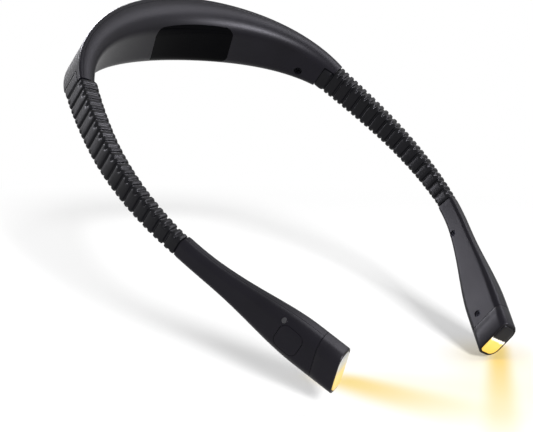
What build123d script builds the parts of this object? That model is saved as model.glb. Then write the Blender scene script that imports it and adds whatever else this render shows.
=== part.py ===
from build123d import *

import math
import os

os.makedirs("parts", exist_ok=True)

# Neck reading light: a rear collar that rests on the neck, two bendable ribbed arms and two lamp heads.
# All of it is drawn along one centreline, which lies near a wear plane that falls forward like the
# wearer's shoulders. Millimetres. The origin is the middle of the collar's neck side.

# How it is worn
wear_tilt = 42.3

# Collar centreline, from its middle to each arm's root
collar_span = 159.6
collar_depth = 41.2
crown_handle = 33.0
root_handle = 26.0
root_flare = 20.3
root_rise = 5.0

# Collar shells
collar_mid_thickness = 16.0
collar_end_thickness = 9.0
collar_mid_height = 30.0
collar_end_height = 14.2
collar_wall = 1.6
seam_gap = 0.1
collar_inner_corner_share = 0.8
collar_outer_corner = 2.0
least_corner = 0.2
collar_station_shares = (-1, -0.93, -0.8, -0.65, -0.5, -0.35, -0.18, 0, 0.18, 0.35, 0.5, 0.65, 0.8, 0.93, 1)
overrun = 3.0

# Tongues of the collar shells, which run on over the top of the sleeve's cuff
cuff_show = 6.0
tongue_depth = 2.2

# Gloss panel let into the neck side
panel_thickness = 0.8
panel_low_share = 0.86
panel_high_share = 0.7
panel_top_left = 19.0
panel_top_right = 30.5
panel_low_left = 9.0
panel_low_right = 36.6
panel_bow = 1.9
panel_corner = 3.0
panel_fit = 0.1

# Collar screws
collar_screw_inset = 17.5
collar_screw_drop = 4.1
screw_head_diameter = 3.8
screw_head_height = 1.5
screw_shank_diameter = 2.2
screw_length = 5.0
screw_sink = 1.3
screw_fit = 0.1
slot_width = 0.6
slot_depth = 0.5
slot_length_share = 0.66
collar_boss_wall = 0.9

# Battery in the middle of the collar
cell_length = 38.0
cell_height = 22.0
cell_thickness = 6.6
cell_corner = 2.0
cell_fit = 0.25
pad_length = 26.0
pad_height = 14.0
pad_thickness = 1.2
battery_lead_diameter = 0.9
battery_lead_rises = (-2.0, -5.0)
battery_lead_bridge_share = 0.25

# Driver board and charging socket
board_thickness = 0.8
driver_board_length = 24.0
driver_board_height = 18.0
driver_board_share = 0.46
driver_board_edge = 1.3
chip_length = 5.0
chip_width = 4.0
chip_height = 1.1
coil_diameter = 5.0
coil_height = 2.2
socket_width = 8.9
socket_thickness = 3.2
socket_depth = 7.3
socket_corner = 1.3
socket_wall = 0.3
socket_tongue = 0.7
socket_recess = 0.5
socket_fit = 0.2
post_diameter = 3.0
post_spread = 8.0
post_rise = 3.0
post_fit = 0.05

# Arms: ribbed sleeve over a bendable core
band_length = 6.0
band_count = 15
arm_start_turn = 7.0
arm_start_length = 30.0
arm_main_turn = 28.8
arm_rise = 3.0
arm_rise_power = 1.5
right_arm_twist = -14.0
twist_length = 60.0
arm_end_thickness = 6.8
arm_end_height = 8.4
sleeve_corner_share = 0.58
groove_width = 0.8
groove_depth = 0.7
plug_length = 5.5
plug_fit = 0.15
core_diameter = 3.2
core_bore = 1.9
core_fit = 0.2
core_head_reach = 12.0
ferrule_diameter = 4.0
ferrule_length = 2.8
lead_diameter = 1.5
lead_start = 11.2
lead_clearance = 0.3
lead_step = 4.0
lead_over_cell = 3.0
lead_climb_share = 0.85
lead_descent_rows = ((-0.4, 0.6), (-0.55, 0.25), (-0.7, 0))
lead_exit_shares = (0.65, 0.73)
head_lead_flare_shares = (0.4, 0.6)

# Lamp heads
neck_bend_turn = 6.5
neck_bend_length = 18.0
head_length = 78.0
head_bend_start = 6.0
left_head_climb = 3.8
right_head_climb = -5.5
head_neck_thickness = 6.6
head_neck_height = 9.0
head_lamp_thickness = 11.5
head_lamp_height = 17.8
head_straight_length = 16.0
thickness_flare_power = 6
height_flare_power = 3
head_wall = 1.15
head_corner_share = 0.64
head_station_shares = (0, 0.1, 0.2, 0.32, 0.44, 0.56, 0.68, 0.8, 0.9, 1)
face_slant = 15.0
cap_length = 10.3
cap_wall = 1.2
cap_seam = 0.1
cap_spigot = 2.2
cap_lip = 0.9
lens_thickness = 2.0
lens_proud = 0.3
reflector_thickness = 3.2
reflector_wall = 0.9
reflector_taper = 1.3
led_board_thickness = 1.0
led_size = 2.8
led_height = 0.8
led_spacing = 3.8
led_count = 3
stack_fit = 0.1
head_ferrule_start = 3.0
head_ferrule_length = 7.0

# Head screws
near_screw_place = 18.0
far_screw_set_back = 14.0
head_screw_lengths = (3.6, 7.0)
head_screw_drop = 2.6
head_screw_head_diameter = 3.0
head_screw_head_height = 1.0
head_screw_shank_diameter = 1.6
head_screw_sink = 0.6
head_boss_wall = 0.7

# Push button, switch and indicator
button_set_back = 22.6
button_rise = 0.6
button_size = 10.5
button_corner = 3.0
button_fit = 0.2
button_flange = 0.6
button_flange_width = 7.0
button_flange_thickness = 0.5
button_travel = 0.5
switch_board_length = 13.0
switch_post_spread = 4.8
switch_board_height = 12.6
switch_board_level = -0.9
switch_size = 6.0
switch_height = 2.0
plunger_diameter = 3.0
plunger_height = 1.2
plunger_fit = 0.05
indicator_set_back = 28.1
indicator_rise = 6.3
indicator_diameter = 2.0
indicator_fit = 0.1
led_lead_rise = 3.4

# The wear plane, and the centreline drawn flat on it
wear_plane = Plane(
    origin=(0, 0, 0),
    x_dir=(1, 0, 0),
    z_dir=(0, -math.sin(math.radians(wear_tilt)), math.cos(math.radians(wear_tilt))),
)
right, back, up = wear_plane.x_dir, wear_plane.y_dir, wear_plane.z_dir

flare_sine = math.sin(math.radians(root_flare))
flare_cosine = math.cos(math.radians(root_flare))
crown_y = collar_mid_thickness / 2
root_x = collar_span / 2
root_y = crown_y - collar_depth
arm_length = band_length * band_count
arm_main_length = arm_length - arm_start_length
head_flare_length = head_length - head_straight_length
head_run_length = head_length - neck_bend_length + overrun

with BuildLine() as collar_plan:
    Bezier(
        (0, crown_y),
        (crown_handle, crown_y),
        (root_x - root_handle * flare_sine, root_y + root_handle * flare_cosine),
        (root_x, root_y),
    )

with BuildLine() as arm_plan:
    start_bend = JernArc(
        start=(root_x, root_y),
        tangent=(flare_sine, -flare_cosine),
        radius=arm_start_length / math.radians(arm_start_turn),
        arc_size=-arm_start_turn,
    )
    main_bend = JernArc(
        start=start_bend @ 1,
        tangent=start_bend % 1,
        radius=arm_main_length / math.radians(arm_main_turn),
        arc_size=-arm_main_turn,
    )
    neck_bend = JernArc(
        start=main_bend @ 1,
        tangent=main_bend % 1,
        radius=neck_bend_length / math.radians(neck_bend_turn),
        arc_size=-neck_bend_turn,
    )
    Line(neck_bend @ 1, (neck_bend @ 1) + (neck_bend % 1) * head_run_length)

collar_line = collar_plan.wires()[0]
arm_line = arm_plan.wires()[0]
collar_half_length = collar_line.length


# A section plane: x points outward, y up the wide faces, z to the right along the collar
def section_plane(side, spot, run, height, climb):
    flat_run = right * (run.X * side) + back * run.Y
    outward = right * (-run.Y * side) + back * run.X
    place = right * (spot.X * side) + back * spot.Y + up * height
    along = flat_run * math.cos(climb) + up * math.sin(climb)
    return Plane(origin=place, x_dir=outward, z_dir=along * side)


# A plane turned on its own face by an angle in degrees
def turned_plane(plane, angle):
    turn = math.radians(angle)
    x_dir = plane.x_dir * math.cos(turn) + plane.y_dir * math.sin(turn)
    return Plane(origin=plane.origin, x_dir=x_dir, z_dir=plane.z_dir)


# A share of 0 is the collar's middle, 1 the right arm's root and -1 the left arm's
def collar_plane(share):
    side = 1 if share >= 0 else -1
    part = abs(share)
    height = root_rise * part**2 * (3 - 2 * part)
    climb = math.atan(6 * root_rise * part * (1 - part) / collar_half_length)
    reach = part * collar_half_length
    spot = collar_line.position_at(reach, position_mode=PositionMode.LENGTH)
    run = collar_line.tangent_at(reach, position_mode=PositionMode.LENGTH)
    return section_plane(side, spot, run, height, climb)


# How far the arm and head climb above the arm's root, and at what angle
def arm_height(side, distance):
    bend_end = arm_length + neck_bend_length
    bend_from = arm_length - head_bend_start
    head_climb = right_head_climb if side > 0 else left_head_climb
    straight = min(distance, bend_from) / arm_length
    slope = arm_rise * arm_rise_power * straight ** (arm_rise_power - 1) / arm_length
    height = arm_rise * straight**arm_rise_power
    past = max(distance - bend_from, 0)
    bent = min(past, bend_end - bend_from)
    turn = math.tan(math.radians(head_climb)) - slope
    share = bent / (bend_end - bend_from)
    height += slope * past + turn * (bent * share / 2 + past - bent)
    return root_rise + height, math.atan(slope + turn * share)


# Distances run from the arm's root towards the lamp, and below 0 back into the collar. The right
# arm is worn twisted a little towards the neck.
def arm_plane(side, distance):
    if distance < 0:
        return collar_plane(side * (1 + distance / collar_half_length))
    height, climb = arm_height(side, distance)
    spot = arm_line.position_at(distance, position_mode=PositionMode.LENGTH)
    run = arm_line.tangent_at(distance, position_mode=PositionMode.LENGTH)
    part = min(distance / twist_length, 1) if side > 0 else 0
    twist = right_arm_twist * part**2 * (3 - 2 * part)
    return turned_plane(section_plane(side, spot, run, height, climb), twist)


# A plane that lies along the object: facing 1 looks outward and -1 towards the neck, and its y is up
def side_plane(station, level, rise, facing):
    place = station.from_local_coords((level, rise, 0))
    return Plane(origin=place, x_dir=station.z_dir * -facing, z_dir=station.x_dir * facing)


# Half thickness, half height and corner radius of each section
def collar_size(share):
    thin = math.cos(math.pi * share / 2) ** 2
    thickness = collar_end_thickness + (collar_mid_thickness - collar_end_thickness) * thin
    height = collar_end_height + (collar_mid_height - collar_end_height) * (1 - share**2)
    return thickness / 2, height / 2, collar_inner_corner_share * thickness / 2


def sleeve_size(distance):
    share = distance / arm_length
    thickness = collar_end_thickness + (arm_end_thickness - collar_end_thickness) * share
    height = collar_end_height + (arm_end_height - collar_end_height) * share
    return thickness / 2, height / 2, sleeve_corner_share * thickness / 2


def head_size(distance):
    flare = math.sin(math.pi / 2 * min(distance / head_flare_length, 1))
    wider = flare**thickness_flare_power
    taller = flare**height_flare_power
    thickness = head_neck_thickness + (head_lamp_thickness - head_neck_thickness) * wider
    height = head_neck_height + (head_lamp_height - head_neck_height) * taller
    return thickness / 2, height / 2, head_corner_share * thickness / 2


def solid_section(size, inset):
    half_thickness, half_height, corner = size
    RectangleRounded(
        2 * (half_thickness - inset), 2 * (half_height - inset), max(corner - inset, least_corner)
    )


# One shell's C-shaped wall: facing 1 is the outer shell and -1 the one on the neck side
def wall_section(size, wall, facing):
    half_thickness, half_height, corner = size
    seam = facing * seam_gap / 2
    bow = math.sqrt(1 / 2)
    edges = []
    ends = []
    for inset in (0, wall):
        radius = max(corner - inset, least_corner)
        face = facing * (half_thickness - inset)
        top = half_height - inset
        side = face - facing * radius
        flat = top - radius
        bend_x = side + facing * radius * bow
        bend_y = flat + radius * bow
        edges += [
            Edge.make_line((seam, top), (side, top)),
            Edge.make_three_point_arc((side, top), (bend_x, bend_y), (face, flat)),
            Edge.make_line((face, flat), (face, -flat)),
            Edge.make_three_point_arc((face, -flat), (bend_x, -bend_y), (side, -top)),
            Edge.make_line((side, -top), (seam, -top)),
        ]
        ends.append(top)
    edges.append(Edge.make_line((seam, ends[0]), (seam, ends[1])))
    edges.append(Edge.make_line((seam, -ends[0]), (seam, -ends[1])))
    make_face(edges)


def keep_piece(piece, name):
    piece.part.label = name
    export_step(piece.part, f"parts/{name}.step")


# Collar: the places that several pieces share
panel_share = (panel_top_right + panel_low_right - panel_top_left - panel_low_left) / 4 / collar_half_length
collar_screw_share = 1 - collar_screw_inset / collar_half_length
screw_half_thickness = collar_size(collar_screw_share)[0]
driver_station = collar_plane(driver_board_share)
driver_half_thickness, driver_half_height, driver_corner = collar_size(driver_board_share)
driver_board_back = -socket_thickness / 2 - board_thickness
driver_board_low = -driver_half_height + collar_wall + driver_board_edge
socket_mouth = -driver_half_height + socket_recess


# The collar's full outside, drawn in by an inset
def collar_body(inset):
    with BuildPart() as body:
        for share in collar_station_shares:
            with BuildSketch(collar_plane(share)):
                solid_section(collar_size(share), inset)
        loft()
    return body.part


# The outline of the gloss panel, seen from the neck side and grown by a margin
def panel_block(margin):
    centre = panel_share * collar_half_length
    corners = []
    for along, rise_share, grow in (
        (-panel_top_left, panel_high_share, -margin),
        (-panel_low_left, -panel_low_share, -margin),
        (panel_low_right, -panel_low_share, margin),
        (panel_top_right, panel_high_share, margin),
    ):
        rise = rise_share * collar_size(along / collar_half_length)[1]
        corners.append((along - centre + grow, rise + math.copysign(margin, rise_share)))
    top_left, low_left, low_right, top_right = corners
    left_middle = ((top_left[0] + low_left[0]) / 2 + panel_bow, (top_left[1] + low_left[1]) / 2)
    with BuildPart() as block:
        with BuildSketch(side_plane(collar_plane(panel_share), 0, 0, -1)) as outline:
            with BuildLine():
                ThreePointArc(top_left, left_middle, low_left)
                Line(low_left, low_right)
                Line(low_right, top_right)
                Line(top_right, top_left)
            make_face()
            fillet(outline.vertices(), panel_corner + margin)
        extrude(amount=collar_mid_thickness)
    return block.part


def collar_screw_plane(side, level, facing):
    station = collar_plane(side * collar_screw_share)
    return side_plane(station, level, -collar_screw_drop, facing)


panel_seat = collar_body(panel_thickness + panel_fit)
panel_back = collar_body(panel_thickness)
collar_outside = collar_body(0)
panel_opening = panel_block(panel_fit)
panel_blank = panel_block(0)

with BuildPart() as panel_recess:
    add(panel_opening)
    add(panel_seat, mode=Mode.SUBTRACT)

# The shells stop short, so that only a tongue along the top reaches each arm's root
with BuildPart() as tongue_gaps:
    gap_top = collar_end_height / 2 - tongue_depth
    for side in (1, -1):
        with BuildSketch(arm_plane(side, -cuff_show)):
            with Locations((0, gap_top - collar_mid_height / 2)):
                Rectangle(2 * collar_mid_thickness, collar_mid_height)
        extrude(amount=side * (cuff_show + overrun))

with BuildPart() as socket_opening:
    mouth = driver_station.from_local_coords((0, -driver_half_height - overrun, 0))
    with BuildSketch(Plane(origin=mouth, x_dir=driver_station.z_dir, z_dir=driver_station.y_dir)):
        RectangleRounded(
            socket_width + 2 * socket_fit,
            socket_thickness + 2 * socket_fit,
            socket_corner + socket_fit,
        )
    extrude(amount=collar_wall + 2 * overrun)

with BuildPart() as collar_outer_shell:
    for share in collar_station_shares:
        half_thickness, half_height, _ = collar_size(share)
        with BuildSketch(collar_plane(share)):
            wall_section((half_thickness, half_height, collar_outer_corner), collar_wall, 1)
    loft()
    for side in (1, -1):
        with BuildSketch(collar_screw_plane(side, seam_gap, 1)):
            Circle(screw_shank_diameter / 2 + collar_boss_wall)
        extrude(amount=screw_half_thickness - collar_wall / 2)
        with BuildSketch(collar_screw_plane(side, seam_gap, 1)):
            Circle(screw_shank_diameter / 2 + screw_fit)
        extrude(amount=screw_half_thickness - collar_wall, mode=Mode.SUBTRACT)
    add(tongue_gaps.part, mode=Mode.SUBTRACT)
    add(socket_opening.part, mode=Mode.SUBTRACT)
keep_piece(collar_outer_shell, "collar_outer_shell")

with BuildPart() as collar_inner_shell:
    for share in collar_station_shares:
        with BuildSketch(collar_plane(share)):
            wall_section(collar_size(share), collar_wall, -1)
    loft()
    for side in (1, -1):
        with BuildSketch(collar_screw_plane(side, -seam_gap, -1)):
            Circle(screw_head_diameter / 2 + collar_boss_wall)
        extrude(amount=screw_half_thickness - collar_wall / 2)
        with BuildSketch(collar_screw_plane(side, overrun, -1)):
            Circle(screw_shank_diameter / 2 + screw_fit)
        extrude(amount=screw_half_thickness + 2 * overrun, mode=Mode.SUBTRACT)
        sink_level = screw_sink + screw_head_height - screw_half_thickness
        with BuildSketch(collar_screw_plane(side, sink_level, -1)):
            Circle(screw_head_diameter / 2 + screw_fit)
        extrude(amount=screw_half_thickness, mode=Mode.SUBTRACT)
    for offset in (post_spread, -post_spread):
        station = driver_station.offset(offset)
        with BuildSketch(side_plane(station, driver_board_back - post_fit, post_rise, -1)):
            Circle(post_diameter / 2)
        extrude(amount=driver_half_thickness - collar_wall / 2 + driver_board_back)
    add(tongue_gaps.part, mode=Mode.SUBTRACT)
    add(socket_opening.part, mode=Mode.SUBTRACT)
    add(panel_recess.part, mode=Mode.SUBTRACT)
keep_piece(collar_inner_shell, "collar_inner_shell")

with BuildPart() as inlay_panel:
    add(panel_blank)
    add(collar_outside, mode=Mode.INTERSECT)
    add(panel_back, mode=Mode.SUBTRACT)
keep_piece(inlay_panel, "inlay_panel")

with BuildPart() as collar_screws:
    for side in (1, -1):
        head_level = screw_sink + screw_head_height - screw_half_thickness
        with BuildSketch(collar_screw_plane(side, head_level, -1)):
            Circle(screw_head_diameter / 2)
        extrude(amount=screw_head_height)
        with BuildSketch(collar_screw_plane(side, head_level, 1)):
            Circle(screw_shank_diameter / 2)
        extrude(amount=screw_length)
        for turn in (0, 90):
            slot_plane = collar_screw_plane(side, screw_sink - screw_half_thickness, 1)
            with BuildSketch(turned_plane(slot_plane, turn)):
                Rectangle(screw_head_diameter * slot_length_share, slot_width)
            extrude(amount=slot_depth, mode=Mode.SUBTRACT)
keep_piece(collar_screws, "collar_screws")


def moved_plane(station, level, rise):
    return station.shift_origin(station.from_local_coords((level, rise, 0)))


# Rings of a tube, evenly spaced along a smooth route and square to it
def ring_planes(stations, step):
    with BuildLine() as route:
        Spline(*[station.origin for station in stations])
    wire = route.wires()[0]
    count = round(wire.length / step)
    planes = []
    for ring in range(count + 1):
        share = ring / count
        run = wire.tangent_at(share)
        planes.append(Plane(origin=wire.position_at(share), x_dir=run.cross(up), z_dir=run))
    return planes


# The cell lies flat in the curve, against the foam pad on the neck side
middle_station = collar_plane(0)
cell_back = collar_wall + pad_thickness + 2 * cell_fit - crown_y
with BuildPart() as battery_cell:
    with BuildSketch(side_plane(middle_station, cell_back, 0, 1)):
        RectangleRounded(cell_length, cell_height, cell_corner)
    extrude(amount=cell_thickness)
    cell_front = battery_cell.faces().sort_by(Axis(middle_station.origin, middle_station.x_dir))[-1]
    fillet(cell_front.edges(), cell_corner / 2)
keep_piece(battery_cell, "battery_cell")

with BuildPart() as battery_pad:
    with BuildSketch(side_plane(middle_station, cell_back - cell_fit, 0, -1)):
        RectangleRounded(pad_length, pad_height, cell_corner)
    extrude(amount=pad_thickness)
keep_piece(battery_pad, "battery_pad")

with BuildPart() as driver_board:
    board_centre = driver_board_low + driver_board_height / 2
    with BuildSketch(side_plane(driver_station, driver_board_back, board_centre, 1)):
        Rectangle(driver_board_length, driver_board_height)
    extrude(amount=board_thickness)
    front = side_plane(driver_station, driver_board_back + board_thickness, post_rise, 1)
    with BuildSketch(front.shift_origin(front.from_local_coords((post_spread, 0)))):
        Rectangle(chip_length, chip_width)
    extrude(amount=chip_height)
    with BuildSketch(front.shift_origin(front.from_local_coords((-post_spread, 0)))):
        Circle(coil_diameter / 2)
    extrude(amount=coil_height)
keep_piece(driver_board, "driver_board")

cell_level = cell_back + cell_thickness / 2
battery_lead_level = driver_board_back + board_thickness + battery_lead_diameter / 2 + lead_clearance
cell_end_share = cell_length / 2 / collar_half_length
bridge_share = cell_end_share + (driver_board_share - cell_end_share) * battery_lead_bridge_share
with BuildPart() as battery_leads:
    for rise in battery_lead_rises:
        stations = (
            moved_plane(middle_station.offset(cell_length / 2 + cell_fit), cell_level, rise),
            moved_plane(collar_plane(bridge_share), (cell_level + battery_lead_level) / 2, rise),
            moved_plane(driver_station.offset(-lead_start), battery_lead_level, rise),
        )
        for plane in ring_planes(stations, lead_step):
            with BuildSketch(plane):
                Circle(battery_lead_diameter / 2)
        loft()
keep_piece(battery_leads, "battery_leads")

with BuildPart() as charging_socket:
    mouth = driver_station.from_local_coords((0, socket_mouth, 0))
    socket_plane = Plane(origin=mouth, x_dir=driver_station.z_dir, z_dir=driver_station.y_dir)
    with BuildSketch(socket_plane):
        RectangleRounded(socket_width, socket_thickness, socket_corner)
    extrude(amount=socket_depth)
    with BuildSketch(socket_plane):
        RectangleRounded(
            socket_width - 2 * socket_wall,
            socket_thickness - 2 * socket_wall,
            socket_corner - socket_wall,
        )
    extrude(amount=socket_depth - 2 * socket_wall, mode=Mode.SUBTRACT)
    with BuildSketch(socket_plane.offset(socket_tongue)):
        Rectangle(socket_width - 2 * socket_corner, socket_tongue)
    extrude(amount=socket_depth - socket_tongue)
keep_piece(charging_socket, "charging_socket")

# Each arm's core is crimped into a ferrule behind the sleeve's plug
ferrule_start = -cuff_show - plug_length - ferrule_length - plug_fit
with BuildPart() as arm_root_ferrules:
    for side in (1, -1):
        with BuildSketch(arm_plane(side, ferrule_start)):
            Circle(ferrule_diameter / 2)
            Circle((core_diameter + core_fit) / 2, mode=Mode.SUBTRACT)
        extrude(amount=side * ferrule_length)
keep_piece(arm_root_ferrules, "arm_root_ferrules")


def head_plane(side, distance):
    return arm_plane(side, arm_length + distance)


# A plane across the head that leans back at its top, as the lamp's face does
def slanted_plane(side, distance):
    station = head_plane(side, distance)
    slant = math.radians(face_slant)
    forward = station.z_dir * side
    return Plane(
        origin=station.origin,
        x_dir=station.x_dir,
        z_dir=forward * math.cos(slant) + station.y_dir * math.sin(slant),
    )


# A slice of the lamp's straight end, between two slanted planes and inset from the outside
def lamp_slice(side, start, end, inset):
    middle = (start + end) / 2
    half = (end - start) / 2 + head_lamp_height / 2
    with BuildPart() as piece:
        with BuildSketch(head_plane(side, middle - half)):
            solid_section(head_size(head_length), inset)
        extrude(amount=side * 2 * half)
        split(bisect_by=slanted_plane(side, start), keep=Keep.TOP)
        split(bisect_by=slanted_plane(side, end), keep=Keep.BOTTOM)
    return piece.part


# The whole outside of a head up to where its lamp end runs straight
def head_outside(side):
    with BuildPart() as outside:
        for share in head_station_shares:
            distance = share * head_flare_length
            with BuildSketch(head_plane(side, distance)):
                solid_section(head_size(distance), 0)
        loft()
    return outside.part


def head_wall_body(side, facing):
    with BuildPart() as body:
        for share in head_station_shares:
            distance = share * head_flare_length
            with BuildSketch(head_plane(side, distance)):
                wall_section(head_size(distance), head_wall, facing)
        loft()
        with BuildSketch(head_plane(side, head_flare_length)):
            wall_section(head_size(head_length), head_wall, facing)
        extrude(amount=side * (head_length - head_flare_length))
        split(bisect_by=slanted_plane(side, cap_line - cap_seam / 2), keep=Keep.BOTTOM)
    return body.part


def head_screw_plane(side, place, level, facing):
    return side_plane(head_plane(side, place), level, -head_screw_drop, facing)


def button_plane(side, level):
    return side_plane(head_plane(side, button_place), level, button_rise, 1)


def indicator_plane(side, level):
    return side_plane(head_plane(side, indicator_place), level, indicator_rise, 1)


cap_line = head_length - cap_length
button_place = head_length - button_set_back
indicator_place = head_length - indicator_set_back
head_screw_places = (near_screw_place, head_length - far_screw_set_back)
lens_back = head_length - lens_thickness
reflector_back = lens_back - stack_fit - reflector_thickness
led_board_front = reflector_back - stack_fit
led_board_back = led_board_front - led_board_thickness
lip_front = led_board_back - stack_fit
stack_inset = cap_wall + stack_fit
bore_size = core_diameter + core_fit
core_end = arm_length + core_head_reach
head_boss = head_screw_shank_diameter / 2 + screw_fit + head_boss_wall
head_sink_boss = head_screw_head_diameter / 2 + screw_fit + head_boss_wall / 2
switch_board_front = switch_board_level + board_thickness
switch_top = switch_board_front + switch_height
plunger_top = switch_top + plunger_height
button_base = plunger_top + plunger_fit
plunger_sink = button_travel + plunger_fit

# The left lead leaves the driver board over the cell, the right one straight along the collar.
# Each row is a share of the half collar, then the level and rise in the section there.
over_cell_share = (cell_length / 2 + lead_over_cell) / collar_half_length
lead_rest = driver_board_back + board_thickness + lead_diameter / 2 + lead_clearance
over_cell = cell_height / 2 + lead_diameter / 2 + cell_fit + lead_clearance
lead_places = {
    -1: (
        (over_cell_share, 0, over_cell * lead_climb_share),
        (over_cell_share / 2, 0, over_cell),
        (0, 0, over_cell),
        (-over_cell_share / 2, 0, over_cell),
        (-over_cell_share, 0, over_cell * lead_climb_share),
        *((share, 0, over_cell * rise_share) for share, rise_share in lead_descent_rows),
    ),
    1: (
        (lead_exit_shares[0], lead_rest / 2, post_rise / 2),
        (lead_exit_shares[1], 0, 0),
    ),
}

# The lead's last stretch, in the head: distance, level and rise
head_lead_places = (
    (core_head_reach + lead_diameter, 0, 0),
    (head_screw_places[0], 0, lead_diameter / 2),
    (head_flare_length * head_lead_flare_shares[0], 0, lead_diameter / 2),
    (head_flare_length * head_lead_flare_shares[1], lead_diameter / 2, lead_diameter / 4),
    (button_place - switch_board_length / 2, switch_board_front + lead_diameter / 2 + lead_clearance, 0),
    (indicator_place, switch_board_front + lead_diameter / 2 + post_fit, 0),
)


for side, hand in ((1, "right"), (-1, "left")):
    # The sleeve is one moulding: a plug held in the collar, a smooth cuff, then the bands
    with BuildPart() as sleeve:
        for distance in (-cuff_show - plug_length, plug_fit - cuff_show):
            with BuildSketch(arm_plane(side, distance)):
                solid_section(collar_size(1 + distance / collar_half_length), collar_wall + plug_fit)
                Circle(bore_size / 2, mode=Mode.SUBTRACT)
        loft(ruled=True)
        cuff_height = collar_end_height - tongue_depth - plug_fit
        cuff_drop = (tongue_depth + plug_fit) / 2
        for start, end, inset in (
            (plug_fit - cuff_show, -groove_width / 2, 0),
            (-groove_width / 2, groove_width / 2, groove_depth),
        ):
            for distance in (start, end):
                with BuildSketch(arm_plane(side, distance)):
                    thickness = collar_end_thickness - 2 * inset
                    with Locations((0, -cuff_drop)):
                        RectangleRounded(
                            thickness, cuff_height - 2 * inset, sleeve_corner_share * thickness / 2
                        )
                    Circle(bore_size / 2, mode=Mode.SUBTRACT)
            loft(ruled=True)
        for band in range(band_count):
            start = band * band_length
            end = start + band_length
            for distance, inset in (
                (start + groove_width / 2, groove_depth),
                (start + groove_width, 0),
                (end - groove_width, 0),
                (end - groove_width / 2, groove_depth),
            ):
                with BuildSketch(arm_plane(side, distance)):
                    solid_section(sleeve_size(distance), inset)
                    Circle(bore_size / 2, mode=Mode.SUBTRACT)
        loft(ruled=True)
    keep_piece(sleeve, f"{hand}_sleeve")

    core_steps = 2 * band_count
    core_planes = [
        arm_plane(side, ferrule_start + (core_end - ferrule_start) * step / core_steps)
        for step in range(core_steps + 1)
    ]
    with BuildPart() as core:
        for plane in core_planes:
            with BuildSketch(plane):
                Circle(core_diameter / 2)
                Circle(core_bore / 2, mode=Mode.SUBTRACT)
        loft()
    keep_piece(core, f"{hand}_bendable_core")

    lead_stations = [moved_plane(driver_station.offset(side * lead_start), lead_rest, post_rise)]
    lead_stations += [
        moved_plane(collar_plane(share), level, rise) for share, level, rise in lead_places[side]
    ]
    lead_stations += core_planes[::2]
    lead_stations += [
        moved_plane(head_plane(side, distance), level, rise)
        for distance, level, rise in head_lead_places
    ]
    with BuildPart() as lead:
        for plane in ring_planes(lead_stations, lead_step):
            with BuildSketch(plane):
                Circle(lead_diameter / 2)
        loft()
    keep_piece(lead, f"{hand}_lead")

    outside = head_outside(side)
    outer_wall = head_wall_body(side, 1)
    inner_wall = head_wall_body(side, -1)

    with BuildPart() as outer_shell:
        add(outer_wall)
        for place in head_screw_places:
            depth = head_size(place)[0]
            with BuildSketch(head_screw_plane(side, place, seam_gap, 1)):
                Circle(head_boss)
            extrude(amount=depth - head_wall / 2 - seam_gap)
            with BuildSketch(head_screw_plane(side, place, seam_gap, 1)):
                Circle(head_screw_shank_diameter / 2 + screw_fit)
            extrude(amount=depth - head_wall - seam_gap, mode=Mode.SUBTRACT)
        with BuildSketch(button_plane(side, switch_board_front)):
            RectangleRounded(
                button_size + 2 * button_fit,
                button_size + 2 * button_fit,
                button_corner + button_fit,
            )
        extrude(amount=head_lamp_thickness, mode=Mode.SUBTRACT)
        with BuildSketch(indicator_plane(side, switch_board_front)):
            Circle(indicator_diameter / 2 + indicator_fit)
        extrude(amount=head_lamp_thickness, mode=Mode.SUBTRACT)
    keep_piece(outer_shell, f"{hand}_head_outer_shell")

    with BuildPart() as inner_shell:
        add(inner_wall)
        for place in head_screw_places:
            depth = head_size(place)[0]
            sink_level = head_screw_sink + head_screw_head_height - depth
            with BuildSketch(head_screw_plane(side, place, -seam_gap, -1)):
                Circle(head_sink_boss)
            extrude(amount=depth - head_wall / 2 - seam_gap)
            with BuildSketch(head_screw_plane(side, place, overrun, -1)):
                Circle(head_screw_shank_diameter / 2 + screw_fit)
            extrude(amount=depth + 2 * overrun, mode=Mode.SUBTRACT)
            with BuildSketch(head_screw_plane(side, place, sink_level, -1)):
                Circle(head_screw_head_diameter / 2 + screw_fit)
            extrude(amount=depth, mode=Mode.SUBTRACT)
        for offset in (-switch_post_spread, switch_post_spread):
            place = button_place + offset
            station = head_plane(side, place)
            with BuildSketch(side_plane(station, switch_board_level - post_fit, 0, -1)):
                Circle(post_diameter / 2)
            extrude(amount=head_size(place)[0] - head_wall / 2 + switch_board_level)
    keep_piece(inner_shell, f"{hand}_head_inner_shell")

    with BuildPart() as head_ferrule:
        for share in (0, 1 / 2, 1):
            with BuildSketch(head_plane(side, head_ferrule_start + share * head_ferrule_length)):
                Circle(ferrule_diameter / 2)
                Circle(bore_size / 2, mode=Mode.SUBTRACT)
        loft()
    keep_piece(head_ferrule, f"{hand}_head_ferrule")

    with BuildPart() as head_screws:
        for place, length in zip(head_screw_places, head_screw_lengths):
            head_level = head_screw_sink + head_screw_head_height - head_size(place)[0]
            with BuildSketch(head_screw_plane(side, place, head_level, -1)):
                Circle(head_screw_head_diameter / 2)
            extrude(amount=head_screw_head_height)
            with BuildSketch(head_screw_plane(side, place, head_level, 1)):
                Circle(head_screw_shank_diameter / 2)
            extrude(amount=length)
            top_level = head_level - head_screw_head_height
            for turn in (0, 90):
                slot_plane = head_screw_plane(side, place, top_level, 1)
                with BuildSketch(turned_plane(slot_plane, turn)):
                    Rectangle(head_screw_head_diameter * slot_length_share, slot_width)
                extrude(amount=slot_depth, mode=Mode.SUBTRACT)
    keep_piece(head_screws, f"{hand}_head_screws")

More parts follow.
